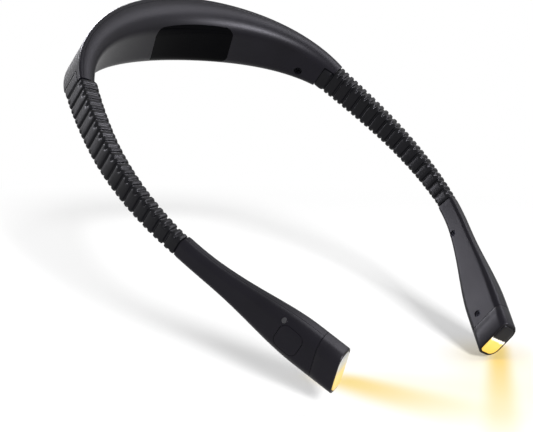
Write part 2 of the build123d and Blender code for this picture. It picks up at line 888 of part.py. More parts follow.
    # End cap: a short sleeve with a spigot behind and a lip that the lamp stack sits on
    cap_skin = lamp_slice(side, cap_line + cap_seam / 2, head_length, 0)
    cap_back = lamp_slice(side, cap_line - cap_spigot, cap_line + cap_wall, head_wall + stack_fit)
    cap_bore = lamp_slice(side, lip_front, head_length + overrun, cap_wall)
    cap_passage = lamp_slice(side, cap_line - overrun, lip_front + overrun, cap_wall + cap_lip)
    with BuildPart() as end_cap:
        add(cap_skin)
        add(cap_back)
        add(cap_bore, mode=Mode.SUBTRACT)
        add(cap_passage, mode=Mode.SUBTRACT)
    keep_piece(end_cap, f"{hand}_end_cap")

    lens_slice = lamp_slice(side, lens_back, head_length + lens_proud, stack_inset)
    with BuildPart() as lens:
        add(lens_slice)
    keep_piece(lens, f"{hand}_lens")

    reflector_slice = lamp_slice(side, reflector_back, lens_back - stack_fit, stack_inset)
    with BuildPart() as reflector:
        add(reflector_slice)
        for distance, inset in (
            (reflector_back, stack_inset + reflector_wall + reflector_taper),
            (lens_back - stack_fit, stack_inset + reflector_wall),
        ):
            with BuildSketch(slanted_plane(side, distance)):
                solid_section(head_size(head_length), inset)
        loft(ruled=True, mode=Mode.SUBTRACT)
    keep_piece(reflector, f"{hand}_reflector")

    board_slice = lamp_slice(side, led_board_back, led_board_front, stack_inset)
    with BuildPart() as led_board:
        add(board_slice)
    keep_piece(led_board, f"{hand}_led_board")

    with BuildPart() as led_chips:
        with BuildSketch(slanted_plane(side, led_board_front)):
            with GridLocations(0, led_spacing, 1, led_count):
                Rectangle(led_size, led_size)
        extrude(amount=led_height)
    keep_piece(led_chips, f"{hand}_led_chips")

    led_lead_level = switch_board_front + lead_diameter / 2 + post_fit
    led_lead_end = led_board_back - led_lead_rise * math.tan(math.radians(face_slant)) - stack_fit
    led_lead_start = button_place + switch_size / 2 + lead_diameter
    with BuildPart() as led_lead:
        with BuildSketch(moved_plane(head_plane(side, led_lead_start), led_lead_level, led_lead_rise)):
            Circle(lead_diameter / 2)
        extrude(amount=side * (led_lead_end - led_lead_start))
    keep_piece(led_lead, f"{hand}_led_lead")

    with BuildPart() as switch_board:
        with BuildSketch(side_plane(head_plane(side, button_place), switch_board_level, 0, 1)):
            Rectangle(switch_board_length, switch_board_height)
        extrude(amount=board_thickness)
    keep_piece(switch_board, f"{hand}_switch_board")

    with BuildPart() as switch:
        with BuildSketch(button_plane(side, switch_board_front)):
            Rectangle(switch_size, switch_size)
        extrude(amount=switch_height)
        with BuildSketch(button_plane(side, switch_top - 2 * plunger_sink)):
            Circle(plunger_diameter / 2 + plunger_fit)
        extrude(amount=2 * plunger_sink, mode=Mode.SUBTRACT)
    keep_piece(switch, f"{hand}_switch")

    with BuildPart() as plunger:
        with BuildSketch(button_plane(side, switch_top - plunger_sink + plunger_fit)):
            Circle(plunger_diameter / 2)
        extrude(amount=plunger_sink - plunger_fit + plunger_height)
    keep_piece(plunger, f"{hand}_switch_plunger")

    # The button's face follows the shell, and its flange keeps it in
    with BuildPart() as button:
        with BuildSketch(button_plane(side, button_base)):
            RectangleRounded(button_size, button_size, button_corner)
        extrude(amount=head_lamp_thickness)
        add(outside, mode=Mode.INTERSECT)
        with BuildSketch(button_plane(side, button_base)):
            Rectangle(button_size + 2 * button_flange, button_flange_width)
        extrude(amount=button_flange_thickness)
    keep_piece(button, f"{hand}_button")

    with BuildPart() as indicator:
        with BuildSketch(indicator_plane(side, switch_board_front + post_fit)):
            Circle(indicator_diameter / 2)
        extrude(amount=head_lamp_thickness)
        add(outside, mode=Mode.INTERSECT)
    keep_piece(indicator, f"{hand}_indicator")
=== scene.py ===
import math

import bmesh
import bpy
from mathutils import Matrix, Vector


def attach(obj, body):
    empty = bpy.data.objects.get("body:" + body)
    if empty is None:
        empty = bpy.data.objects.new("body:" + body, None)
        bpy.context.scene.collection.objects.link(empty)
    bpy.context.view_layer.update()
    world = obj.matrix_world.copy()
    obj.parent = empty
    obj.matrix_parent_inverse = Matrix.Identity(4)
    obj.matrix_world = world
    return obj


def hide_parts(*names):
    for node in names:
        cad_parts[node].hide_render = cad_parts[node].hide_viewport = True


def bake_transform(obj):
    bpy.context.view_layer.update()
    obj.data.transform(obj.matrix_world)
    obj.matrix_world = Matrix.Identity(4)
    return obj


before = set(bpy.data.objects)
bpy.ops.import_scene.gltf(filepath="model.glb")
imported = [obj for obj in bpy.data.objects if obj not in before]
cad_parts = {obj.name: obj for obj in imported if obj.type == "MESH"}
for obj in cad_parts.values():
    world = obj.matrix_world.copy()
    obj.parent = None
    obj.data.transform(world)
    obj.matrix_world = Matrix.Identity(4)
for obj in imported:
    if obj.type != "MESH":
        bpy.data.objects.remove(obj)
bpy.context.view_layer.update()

# Collar, outer shell: the moulding away from the neck, satin black ABS with a crisp edge along its
# top and bottom. It closes on the inner shell along the narrow faces, and a tongue at each end runs
# on over the sleeve's cuff.
MM = 0.001
WEAR_TILT = math.radians(42.3)
RIGHT = Vector((1, 0, 0))
BACK = Vector((0, math.cos(WEAR_TILT), math.sin(WEAR_TILT)))
UP = Vector((0, -math.sin(WEAR_TILT), math.cos(WEAR_TILT)))

collar_half_span = 79.8
collar_depth = 41.2
crown_handle = 33.0
root_handle = 26.0
root_flare = math.radians(20.3)
root_rise = 5.0
collar_mid_half = (8.0, 15.0)
collar_end_half = (4.5, 7.1)
collar_wall = 1.6
shell_gap = 0.1
seam_share = 0.62
seam_chamfer = 0.05
tongue_depth = 2.2
cuff_length = 6.0
outer_corner_shares = ((0.2, 0.2), (0.25, 0.25))
least_corner = 0.05
collar_half_steps = 48
tongue_gap_corner = 0.6
tongue_gap_overrun = 2.0
tongue_gap_reach = 8.0

band_length = 6.0
band_count = 15
arm_length = band_length * band_count
arm_turns = ((30.0, 7.0), (60.0, 28.8), (18.0, 6.5))
arm_rise = 3.0
arm_rise_power = 1.5
neck_bend_start = 6.0
neck_bend_length = 18.0
head_climb = {1: math.radians(-5.5), -1: math.radians(3.8)}
arm_twist = {1: math.radians(-14.0), -1: 0.0}
twist_length = 60.0
head_run = 80.0
line_steps = 2000
arm_stride = 0.05


# The centreline drawn flat on the wear plane: spots along the collar with each one's reach from its
# middle, then spots and directions along the arm at even strides
def flat_line():
    flare = Vector((math.sin(root_flare), -math.cos(root_flare)))
    root = Vector((collar_half_span, collar_mid_half[0] - collar_depth))
    pull = (
        Vector((0, collar_mid_half[0])),
        Vector((crown_handle, collar_mid_half[0])),
        root - flare * root_handle,
        root,
    )
    fine = []
    for step in range(line_steps + 1):
        t = step / line_steps
        u = 1 - t
        fine.append(
            pull[0] * u**3 + pull[1] * 3 * u * u * t + pull[2] * 3 * u * t * t + pull[3] * t**3
        )
    reach = [0.0]
    for a, b in zip(fine, fine[1:]):
        reach.append(reach[-1] + (b - a).length)
    arm = [root]
    heading = root_flare
    directions = [flare]
    for length, turn in (*arm_turns, (head_run, 0.0)):
        count = round(length / arm_stride)
        for _ in range(count):
            heading -= math.radians(turn) / count / 2
            direction = Vector((math.sin(heading), -math.cos(heading)))
            heading -= math.radians(turn) / count / 2
            arm.append(arm[-1] + direction * arm_stride)
            directions.append(direction)
    return fine, reach, arm, directions


collar_fine, collar_reach, arm_fine, arm_directions = flat_line()
collar_half_length = collar_reach[-1]


# How far the arm climbs above its root, and how steeply
def arm_climb(side, distance):
    bend_from = arm_length - neck_bend_start
    bend = neck_bend_start + neck_bend_length
    share = min(distance, bend_from) / arm_length
    slope = arm_rise * arm_rise_power * share ** (arm_rise_power - 1) / arm_length
    height = arm_rise * share**arm_rise_power
    past = max(distance - bend_from, 0)
    bent = min(past, bend)
    turn = math.tan(head_climb[side]) - slope
    height += slope * past + turn * (bent * bent / bend / 2 + past - bent)
    return root_rise + height, math.atan(slope + turn * bent / bend)


# A section's frame: its spot, then the ways outwards, upwards and along. Distance 0 is the arm's
# root, and the collar's middle lies at minus its half length.
def station(side, distance):
    if distance < 0:
        reach = collar_half_length + distance
        low, high = 0, len(collar_reach) - 1
        while high - low > 1:
            middle = (low + high) // 2
            if collar_reach[middle] <= reach:
                low = middle
            else:
                high = middle
        step = collar_fine[high] - collar_fine[low]
        flat = collar_fine[low] + step * (reach - collar_reach[low]) / step.length
        way = step.normalized()
        share = reach / collar_half_length
        height = root_rise * share * share * (3 - 2 * share)
        climb = math.atan(6 * root_rise * share * (1 - share) / collar_half_length)
    else:
        index = min(distance / arm_stride, len(arm_fine) - 2)
        low = int(index)
        flat = arm_fine[low].lerp(arm_fine[low + 1], index - low)
        way = arm_directions[min(low + 1, len(arm_directions) - 1)]
        height, climb = arm_climb(side, distance)
    run = RIGHT * (way.x * side) + BACK * way.y
    outward = RIGHT * (-way.y * side) + BACK * way.x
    spot = RIGHT * (flat.x * side) + BACK * flat.y + UP * height
    upward = UP * math.cos(climb) - run * math.sin(climb)
    along = run * math.cos(climb) + UP * math.sin(climb)
    share = min(max(distance / twist_length, 0), 1)
    twist = arm_twist[side] * share * share * (3 - 2 * share)
    turned_out = outward * math.cos(twist) + upward * math.sin(twist)
    turned_up = upward * math.cos(twist) - outward * math.sin(twist)
    return spot, turned_out, turned_up, along


# A point of a section in millimetres, or beside it when it has a third number along the run
def at(place, x, y, z=0.0):
    spot, outward, upward, along = place
    return spot + outward * x + upward * y + along * z


def collar_half(share):
    thin = math.cos(math.pi * share / 2) ** 2
    thickness = collar_end_half[0] + (collar_mid_half[0] - collar_end_half[0]) * thin
    height = collar_end_half[1] + (collar_mid_half[1] - collar_end_half[1]) * (1 - share * share)
    return thickness, height


# One shell's wall in a section, as a closed loop that starts at the top seam. Facing 1 is outwards,
# and a corner is how far its top or low edge bends over along the edge and down the face.
def wall_loop(half, facing, corners, wall, chamfer, seam=0.0, face_steps=10, arc_steps=12, edge_steps=3):
    loop = []
    for inset in (0.0, wall):
        x, y = half[0] - inset, half[1] - inset
        first = facing * seam + shell_gap / 2
        ease = chamfer if inset == 0 else 0.0
        ends = []
        for rise, corner in zip((1, -1), corners):
            over = min(max(corner[0] - inset, least_corner), x - first - ease)
            down = max(corner[1] - inset, least_corner)
            part = [(first, rise * (y - ease))] if ease else []
            for step in range(edge_steps + 1):
                part.append((first + ease + (x - over - first - ease) * step / edge_steps, rise * y))
            for step in range(1, arc_steps + 1):
                turn = math.pi / 2 * step / arc_steps
                part.append((x - over + over * math.sin(turn), rise * (y - down + down * math.cos(turn))))
            ends.append(part)
        top, low = ends
        face = [
            (x, top[-1][1] + (low[-1][1] - top[-1][1]) * step / face_steps) for step in range(1, face_steps)
        ]
        side = top + face + low[::-1]
        loop += side if inset == 0 else side[::-1]
    return [(facing * a, b) for a, b in loop]


# A closed mesh through rings of points in millimetres, with its two ends capped
def skin(name, rings, smooth=35.0, close=False):
    count = len(rings[0])
    points = [point * MM for ring in rings for point in ring]
    faces = []
    spans = len(rings) if close else len(rings) - 1
    for ring in range(spans):
        here, there = ring * count, (ring + 1) % len(rings) * count
        for k in range(count):
            n = (k + 1) % count
            faces.append((here + k, here + n, there + n, there + k))
    if not close:
        faces.append(tuple(range(count)))
        faces.append(tuple(range((len(rings) - 1) * count, len(rings) * count)))
    mesh = bpy.data.meshes.new(name)
    mesh.from_pydata(points, [], faces)
    body = bmesh.new()
    body.from_mesh(mesh)
    bmesh.ops.recalc_face_normals(body, faces=body.faces)
    body.to_mesh(mesh)
    body.free()
    piece = bpy.data.objects.new(name, mesh)
    bpy.context.collection.objects.link(piece)
    finish_mesh(piece, smooth)
    return piece


def finish_mesh(piece, smooth):
    piece.data.shade_smooth()
    piece.data.set_sharp_from_angle(angle=math.radians(smooth))


# Turn a piece's modifiers into plain mesh
def bake(piece, smooth=35.0):
    graph = bpy.context.evaluated_depsgraph_get()
    mesh = bpy.data.meshes.new_from_object(piece.evaluated_get(graph))
    piece.modifiers.clear()
    old = piece.data
    piece.data = mesh
    mesh.name = old.name
    bpy.data.meshes.remove(old)
    finish_mesh(piece, smooth)


# Cut a piece with others, or join or cross it with them, and remove those
def cut(piece, cutters, operation="DIFFERENCE", smooth=35.0):
    for cutter in cutters:
        knife = piece.modifiers.new("cut", "BOOLEAN")
        knife.operation = operation
        knife.solver = "EXACT"
        knife.object = cutter
    bake(piece, smooth)
    for cutter in cutters:
        bpy.data.objects.remove(cutter)


# A block with an outline of (up, along) points between two levels of a section's outward way, or
# of its upward way when it stands upright
def block(place, outline, low, high, upright=False):
    rings = []
    for level in (low, high):
        if upright:
            rings.append([at(place, y, level, z) for y, z in outline])
        else:
            rings.append([at(place, level, y, z) for y, z in outline])
    return skin("block", rings)


def circle(radius, centre=(0.0, 0.0), steps=32):
    return [
        (
            centre[0] + radius * math.cos(2 * math.pi * step / steps),
            centre[1] + radius * math.sin(2 * math.pi * step / steps),
        )
        for step in range(steps)
    ]


# A rectangle with round corners, as (up, along) points
def rounded(height, length, radius, centre=(0.0, 0.0), steps=7):
    points = []
    for quarter, (sy, sz) in enumerate(((1, 1), (-1, 1), (-1, -1), (1, -1))):
        for step in range(steps + 1):
            turn = math.pi / 2 * (quarter + step / steps)
            points.append(
                (
                    centre[0] + sy * (height / 2 - radius) + radius * math.cos(turn),
                    centre[1] + sz * (length / 2 - radius) + radius * math.sin(turn),
                )
            )
    return points


# Shares along the collar from its left end to its right one, closer together at the ends
collar_shares = [
    math.sin(math.pi / 2 * (step / collar_half_steps - 1)) for step in range(2 * collar_half_steps + 1)
]


def collar_place(share):
    side = 1 if share >= 0 else -1
    distance = min((abs(share) - 1) * collar_half_length, -1e-6)
    return station(side, distance)


def collar_shell(name, facing, corner_shares):
    rings = []
    for share in collar_shares:
        half = collar_half(share)
        corners = [(half[0] * over, half[0] * down) for over, down in corner_shares]
        loop = wall_loop(half, facing, corners, collar_wall, seam_chamfer, half[0] * seam_share)
        place = collar_place(share)
        rings.append([at(place, x, y) for x, y in loop])
    return skin(name, rings)


# The gap under each tongue, from the shells' wide faces to the arm's root
def tongue_gap(side):
    place = station(side, -cuff_length)
    high = collar_end_half[1] - tongue_depth
    low = -collar_end_half[1] - tongue_gap_overrun
    outline = rounded(high - low, 2 * cuff_length, tongue_gap_corner, ((high + low) / 2, cuff_length))
    return block(place, outline, -tongue_gap_reach, tongue_gap_reach)


# A screen shade such as "#0b0a0e" as linear light
def linear(text):
    value = [int(text[k : k + 2], 16) / 255 for k in (1, 3, 5)]
    return [c / 12.92 if c <= 0.04045 else ((c + 0.055) / 1.055) ** 2.4 for c in value] + [1.0]


# Add a node: settings are its own properties, and inputs are values or sockets to link from
def add_node(tree, kind, inputs=None, **settings):
    node = tree.nodes.new(kind)
    for name, value in settings.items():
        setattr(node, name, value)
    for name, value in (inputs or {}).items():
        socket = node.inputs[name]
        if isinstance(value, bpy.types.NodeSocket):
            tree.links.new(value, socket)
        else:
            socket.default_value = value
    return node


# A new material, its tree and the object's own coordinates to draw its grain in
def new_material(name):
    material = bpy.data.materials.new(name)
    material.use_nodes = True
    tree = material.node_tree
    tree.nodes.clear()
    return material, tree, add_node(tree, "ShaderNodeTexCoord").outputs["Object"]


# Nodes that most finishes share, each given back as its output: a noise, a value brought from one
# range to another, a blend of two shades, and a bump
def noise(tree, coords, scale, detail):
    values = {"Vector": coords, "Scale": scale, "Detail": detail}
    return add_node(tree, "ShaderNodeTexNoise", values).outputs["Fac"]


def ranged(tree, value, source, target, **settings):
    values = {"Value": value, "From Min": source[0], "From Max": source[1]}
    values |= {"To Min": target[0], "To Max": target[1]}
    return add_node(tree, "ShaderNodeMapRange", values, **settings).outputs["Result"]


def blended(tree, share, low, high):
    values = {"Factor": share, "A": low, "B": high}
    return add_node(tree, "ShaderNodeMix", values, data_type="RGBA").outputs["Result"]


def bumped(tree, height, strength, distance):
    values = {"Height": height, "Strength": strength, "Distance": distance}
    return add_node(tree, "ShaderNodeBump", values).outputs["Normal"]


# The surface itself, from the values and sockets that a finish gives it
def surfaced(tree, values):
    shader = add_node(tree, "ShaderNodeBsdfPrincipled", values)
    add_node(tree, "ShaderNodeOutputMaterial", {"Surface": shader.outputs["BSDF"]})


# Satin black ABS: moulded against a finely sparked tool, so its sheen is broad and dim. The spark
# texture is 0.25 mm, drawn shallow; the base colour drifts by a hair.
satin_abs, tree, coords = new_material("satin_abs")
grain = noise(tree, coords, 4000.0, 2.0)
drift = noise(tree, coords, 60.0, 1.0)
surfaced(
    tree,
    {
        "Base Color": blended(tree, drift, linear("#0b0a0e"), linear("#111015")),
        "Roughness": ranged(tree, grain, (0.3, 0.7), (0.34, 0.42)),
        "Normal": bumped(tree, grain, 0.12, 0.00002),
        "IOR": 1.54,
        "Specular IOR Level": 0.075,
    },
)

outer_shell = collar_shell("collar_outer_cover", 1, outer_corner_shares)
cut(outer_shell, [tongue_gap(1), tongue_gap(-1)])
outer_shell.data.materials.append(satin_abs)
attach(outer_shell, "root")
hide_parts("collar_outer_shell")

# Collar, inner shell: the moulding that rests on the neck, in the same ABS, with broad soft corners.
# It carries the recess for the gloss panel, a deep counterbore for each screw and, on its low face,
# the opening of the charging port.
inner_corner_shares = ((1.5, 1.15), (0.8, 0.8))
panel_thickness = 0.8
panel_fit = 0.1
panel_corners = ((10.25, -19.0), (-12.84, -9.0), (-11.85, 36.6), (9.98, 30.5))
panel_bow = -1.9
panel_bow_reach = 6.0
panel_radii = (4.5, 1.0, 4.5, 6.0)
panel_middle = sum(along for _, along in panel_corners) / 4
panel_recess = panel_thickness + panel_fit
panel_overrun = 1.0
panel_reach = 16.0
neck_layer_shares = (-0.24, 0.48)
neck_layer_steps = 60
neck_layer_chamfer = 0.02
collar_screw_inset = 17.5
collar_screw_drop = 4.1
collar_screw_sink = 1.3
collar_screw_head = (1.9, 1.5)
collar_boss = (0.9, 0.8)
collar_shank_hole = 1.2
seat_fit = 0.1
seat_seam_gap = 0.1
seat_overrun = 2.0
seat_hole_overlap = 0.5
seat_hole_end = 1.0
port_share = 0.46
port_size = (3.6, 9.3)
port_corner = 1.5
port_levels = (-20.0, -6.0)


# A polygon of (up, along) points with each corner rounded to its own radius
def soft_polygon(points, radii, steps=8):
    outline = []
    for k, (point, radius) in enumerate(zip(points, radii)):
        spot = Vector(point)
        before = (Vector(points[k - 1]) - spot).normalized()
        after = (Vector(points[(k + 1) % len(points)]) - spot).normalized()
        half = math.acos(max(-1, min(1, before.dot(after)))) / 2
        reach = radius / math.tan(half)
        centre = spot + (before + after).normalized() * radius / math.sin(half)
        start = math.atan2(*reversed(spot + before * reach - centre))
        end = math.atan2(*reversed(spot + after * reach - centre))
        turn = (end - start + math.pi) % (2 * math.pi) - math.pi
        for step in range(steps + 1):
            angle = start + turn * step / steps
            outline.append((centre.x + radius * math.cos(angle), centre.y + radius * math.sin(angle)))
    return outline


# The panel's outline with a margin round it, and its left end bowed
def panel_outline(margin):
    grow = ((1, -1), (-1, -1), (-1, 1), (1, 1))
    corners = [
        (y + margin * a, z - panel_middle + margin * b)
        for (y, z), (a, b) in zip(panel_corners, grow)
    ]
    outline = []
    for y, z in soft_polygon(corners, [radius + margin for radius in panel_radii]):
        climb = (y - corners[1][0]) / (corners[0][0] - corners[1][0])
        left = corners[1][1] + (corners[0][1] - corners[1][1]) * climb
        near = max(0.0, 1 - (z - left) / panel_bow_reach)
        outline.append((y, z - panel_bow * near * 4 * climb * (1 - climb)))
    return outline


# A layer of the neck side between two depths, under the panel's part of the collar
def neck_side_layer(low, high):
    rings = []
    first, last = neck_layer_shares
    for step in range(neck_layer_steps + 1):
        spread = first + (last - first) * step / neck_layer_steps
        half = collar_half(spread)
        corners = [(half[0] * over - low, half[0] * down - low) for over, down in inner_corner_shares]
        shape = (half[0] - low, half[1] - low)
        loop = wall_loop(shape, -1, corners, high - low, neck_layer_chamfer, half[0] * seam_share)
        rings.append([at(collar_place(spread), x, y) for x, y in loop])
    return skin("layer", rings)


def panel_form(margin, low, high):
    place = collar_place(panel_middle / collar_half_length)
    form = block(place, panel_outline(margin), -panel_reach, 0.0)
    layer = neck_side_layer(low, high)
    cut(form, [layer], operation="INTERSECT")
    return form


def collar_screw_place(side):
    place = station(side, -collar_screw_inset)
    half = collar_half(1 - collar_screw_inset / collar_half_length)
    return place, half[0]


def port_opening():
    outline = rounded(port_size[0], port_size[1], port_corner)
    return block(collar_place(port_share), outline, *port_levels, upright=True)


# A screw's seat: its boss, given by its wall and the depth at which it starts, then a deep
# counterbore for the head and a hole for the shank
def screw_seat(place, depth, middle, head, sink, boss, shank_hole, steps):
    floor_level = -depth + sink + head[1]
    post = block(place, circle(head[0] + boss[0], middle), -depth + boss[1], -seat_seam_gap)
    counterbore = circle(head[0] + seat_fit, middle, steps)
    holes = [
        block(place, counterbore, -depth - seat_overrun, floor_level),
        block(place, circle(shank_hole, middle), floor_level - seat_hole_overlap, seat_hole_end),
    ]
    return post, holes


inner_shell = collar_shell("collar_inner_cover", -1, inner_corner_shares)
bosses = []
holes = [tongue_gap(1), tongue_gap(-1), port_opening()]
holes.append(panel_form(panel_fit, -panel_overrun, panel_recess))
for side in (1, -1):
    place, depth = collar_screw_place(side)
    middle = (-collar_screw_drop, 0.0)
    post, bores = screw_seat(
        place, depth, middle, collar_screw_head, collar_screw_sink, collar_boss, collar_shank_hole, 48
    )
    bosses.append(post)
    holes += bores
cut(inner_shell, bosses, operation="UNION")
cut(inner_shell, holes)
inner_shell.data.materials.append(satin_abs)
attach(inner_shell, "root")
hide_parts("collar_inner_shell")

# Gloss panel: a thin plate of polished ABS, let flush into the neck side and left bare. The polish
# gives a faint sharp reflection, broken only by hairline wiping marks about 0.3 mm apart.
panel_ease = (0.12, 2)
gloss_abs, tree, coords = new_material("gloss_abs")
stretch = add_node(tree, "ShaderNodeMapping", {"Vector": coords, "Scale": (300.0, 3000.0, 3000.0)})
marks = noise(tree, stretch.outputs["Vector"], 1.0, 3.0)
haze = noise(tree, coords, 90.0, 2.0)
surfaced(
    tree,
    {
        "Base Color": blended(tree, haze, linear("#030304"), linear("#050506")),
        "Roughness": ranged(tree, marks, (0.35, 0.75), (0.06, 0.16)),
        "Normal": bumped(tree, haze, 0.05, 0.00005),
        "IOR": 1.54,
        "Specular IOR Level": 0.008,
    },
)


# Ease a piece's sharp edges: the width of the easing in millimetres, and its steps
def ease_edges(piece, width, segments, smooth=35.0):
    ease = piece.modifiers.new("ease", "BEVEL")
    ease.width = width * MM
    ease.segments = segments
    ease.angle_limit = math.radians(50)
    bake(piece, smooth)


panel = panel_form(0.0, 0.0, panel_thickness)
panel.name = panel.data.name = "gloss_panel"
ease_edges(panel, *panel_ease)
panel.data.materials.append(gloss_abs)
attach(panel, "root")
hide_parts("inlay_panel")

# Collar screws: two small self-tapping screws in blackened steel, sunk deep in the neck side. The
# oxide is thin, so the drive's edges shine through a little.
collar_shank = (1.1, 5.0)
drive_slot = (0.6, 0.5)
drive_share = 0.66
head_edge_ease = 0.15
black_steel, tree, coords = new_material("black_oxide_steel")
grain = noise(tree, coords, 2500.0, 3.0)
worn = add_node(tree, "ShaderNodeNewGeometry").outputs["Pointiness"]
edge = ranged(tree, worn, (0.5, 0.62), (0.0, 0.6))
oxide = blended(tree, grain, linear("#0a0a0c"), linear("#151518"))
surfaced(
    tree,
    {
        "Base Color": blended(tree, edge, oxide, linear("#3c3d42")),
        "Roughness": 0.42,
        "Metallic": 1.0,
        "Normal": bumped(tree, grain, 0.2, 0.00002),
    },
)


# A screw that stands on the origin: the top of its head is at 0 and its shank points down. Head and
# shank are each a radius and a length.
def screw_form(name, head, shank):
    radius, height = head
    shank_radius, shank_length = shank
    profile = [
        (radius - head_edge_ease, 0.0),
        (radius, -head_edge_ease),
        (radius, -height),
        (shank_radius, -height),
        (shank_radius, -height - shank_length + shank_radius),
        (shank_radius / 4, -height - shank_length),
    ]
    rings = [[Vector((a * r, b * r, z)) for a, b in circle(1.0, steps=40)] for r, z in profile]
    screw = skin(name, rings)
    slot_width, slot_depth = drive_slot
    arm = radius * drive_share
    slots = []
    for a, b in ((slot_width / 2, arm), (arm, slot_width / 2)):
        corners = [(-a, -b), (a, -b), (a, b), (-a, b)]
        slots.append(skin("slot", [[Vector((x, y, z)) for x, y in corners] for z in (-slot_depth, 1.0)]))
    cut(screw, slots)
    return screw


# A tree that shapes a piece: its name and its inputs beside the geometry, each a name and a kind
def shape_tree(name, inputs):
    tree = bpy.data.node_groups.new(name, "GeometryNodeTree")
    tree.interface.new_socket(name="Geometry", in_out="INPUT", socket_type="NodeSocketGeometry")
    for label, kind in inputs:
        tree.interface.new_socket(name=label, in_out="INPUT", socket_type="NodeSocket" + kind)
    tree.interface.new_socket(name="Geometry", in_out="OUTPUT", socket_type="NodeSocketGeometry")
    return tree, add_node(tree, "NodeGroupInput").outputs


# The end of such a tree: real mesh, with its finish set
def end_tree(tree, geometry, finish):
    real = add_node(tree, "GeometryNodeRealizeInstances", {"Geometry": geometry}).outputs["Geometry"]
    finished = add_node(tree, "GeometryNodeSetMaterial", {"Geometry": real, "Material": finish})
    add_node(tree, "NodeGroupOutput", {"Geometry": finished.outputs["Geometry"]})


# One tree sets a screw on every point, with its head towards the point's facing
def screw_tree():
    inputs = (("Screw", "Object"), ("Finish", "Material"), ("Size", "Float"))
    tree, given = shape_tree("screws_on_points", inputs)
    points = add_node(tree, "GeometryNodeMeshToPoints", {"Mesh": given["Geometry"]})
    facing = add_node(tree, "GeometryNodeInputNamedAttribute", {"Name": "facing"}, data_type="FLOAT_VECTOR")
    turned = add_node(
        tree, "FunctionNodeAlignRotationToVector", {"Vector": facing.outputs["Attribute"]}, axis="Z"
    )
    screw = add_node(tree, "GeometryNodeObjectInfo", {"Object": given["Screw"]})
    placed = add_node(
        tree,
        "GeometryNodeInstanceOnPoints",
        {
            "Points": points.outputs["Points"],
            "Instance": screw.outputs["Geometry"],
            "Rotation": turned.outputs["Rotation"],
            "Scale": given["Size"],
        },
    )
    end_tree(tree, placed.outputs["Instances"], given["Finish"])
    return tree


# Shape a piece by a tree, with its inputs set by their identifiers
def use_tree(piece, tree, values):
    shape = piece.modifiers.new("shape", "NODES")
    shape.node_group = tree
    for item in tree.interface.items_tree:
        if item.item_type == "SOCKET" and item.in_out == "INPUT" and item.name in values:
            shape[item.identifier] = values[item.name]


# A mesh of bare points, each with the way that its screw faces
def points_mesh(name, spots, facings):
    mesh = bpy.data.meshes.new(name)
    mesh.from_pydata([spot * MM for spot in spots], [], [])
    facing = mesh.attributes.new("facing", "FLOAT_VECTOR", "POINT")
    facing.data.foreach_set("vector", [c for way in facings for c in way])
    piece = bpy.data.objects.new(name, mesh)
    bpy.context.collection.objects.link(piece)
    return piece


screws_tree = screw_tree()
screw = screw_form("screw", collar_screw_head, collar_shank)
spots, facings = [], []
for side in (1, -1):
    place, depth = collar_screw_place(side)
    spots.append(at(place, -depth + collar_screw_sink, -collar_screw_drop))
    facings.append(-place[1])
collar_screws = points_mesh("collar_screw_set", spots, facings)
use_tree(collar_screws, screws_tree, {"Screw": screw, "Finish": black_steel, "Size": 1.0})
bake(collar_screws)
bpy.data.objects.remove(screw)
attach(collar_screws, "root")
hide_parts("collar_screws")

# What the shells hide: a flat cell in shrink wrap on its foam pad, two short wires, the driver
# board, the steel charging socket and brass crimp rings in the collar, and the lamps' and switches'
# small parts in the heads. They keep their built shapes.
roughness_drift = 0.08
stock_bump = 0.4


def plain_finish(name, low, high, scale, roughness, metallic, bump_depth, clear):
    material, tree, coords = new_material(name)
    grain = noise(tree, coords, scale, 4.0)
    target = (roughness - roughness_drift, roughness + roughness_drift)
    surfaced(
        tree,
        {
            "Base Color": blended(tree, grain, linear(low), linear(high)),
            "Roughness": ranged(tree, grain, (0.0, 1.0), target),
            "Metallic": metallic,
            "Coat Weight": clear,
            "Normal": bumped(tree, grain, stock_bump, bump_depth),
        },
    )
    return material


# Each stock's two shades, its grain per metre, its roughness, whether it is metal, the depth of its
# grain in metres and its clear coat
stocks = {
    "shrink_wrap_pvc": ("#1f4f8c", "#2a62a6", 700.0, 0.3, 0.0, 0.00002, 0.3),
    "open_cell_foam": ("#232326", "#3b3b40", 2500.0, 0.9, 0.0, 0.0003, 0.0),
    "solder_mask_board": ("#0f4a2c", "#17623b", 900.0, 0.35, 0.0, 0.00003, 0.4),
    "white_mask_board": ("#e6e6e2", "#f4f4f0", 900.0, 0.4, 0.0, 0.00002, 0.2),
    "red_pvc_wire": ("#a51c1c", "#c22a26", 1500.0, 0.4, 0.0, 0.00002, 0.0),
    "black_pvc_wire": ("#141416", "#202024", 1500.0, 0.45, 0.0, 0.00002, 0.0),
    "pressed_steel": ("#a9adb3", "#c4c8ce", 2200.0, 0.28, 1.0, 0.00002, 0.0),
    "drawn_brass": ("#a8843c", "#c49d50", 2200.0, 0.3, 1.0, 0.00002, 0.0),
    "spring_steel": ("#7d8188", "#9a9ea5", 2600.0, 0.35, 1.0, 0.00003, 0.0),
    "white_reflector_abs": ("#e9e9e6", "#f5f5f2", 1200.0, 0.35, 0.0, 0.00002, 0.2),
    "led_phosphor_gel": ("#e8c64a", "#f4d964", 3000.0, 0.35, 0.0, 0.00002, 0.5),
    "switch_nylon": ("#17171a", "#222226", 2500.0, 0.5, 0.0, 0.00003, 0.0),
}
finishes = {name: plain_finish(name, *values) for name, values in stocks.items()}


# Give a built node its finish, in every material slot that it has
def dress(node, finish):
    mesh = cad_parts[node].data
    if not mesh.materials:
        mesh.materials.append(finishes[finish])
    for slot in range(len(mesh.materials)):
        mesh.materials[slot] = finishes[finish]


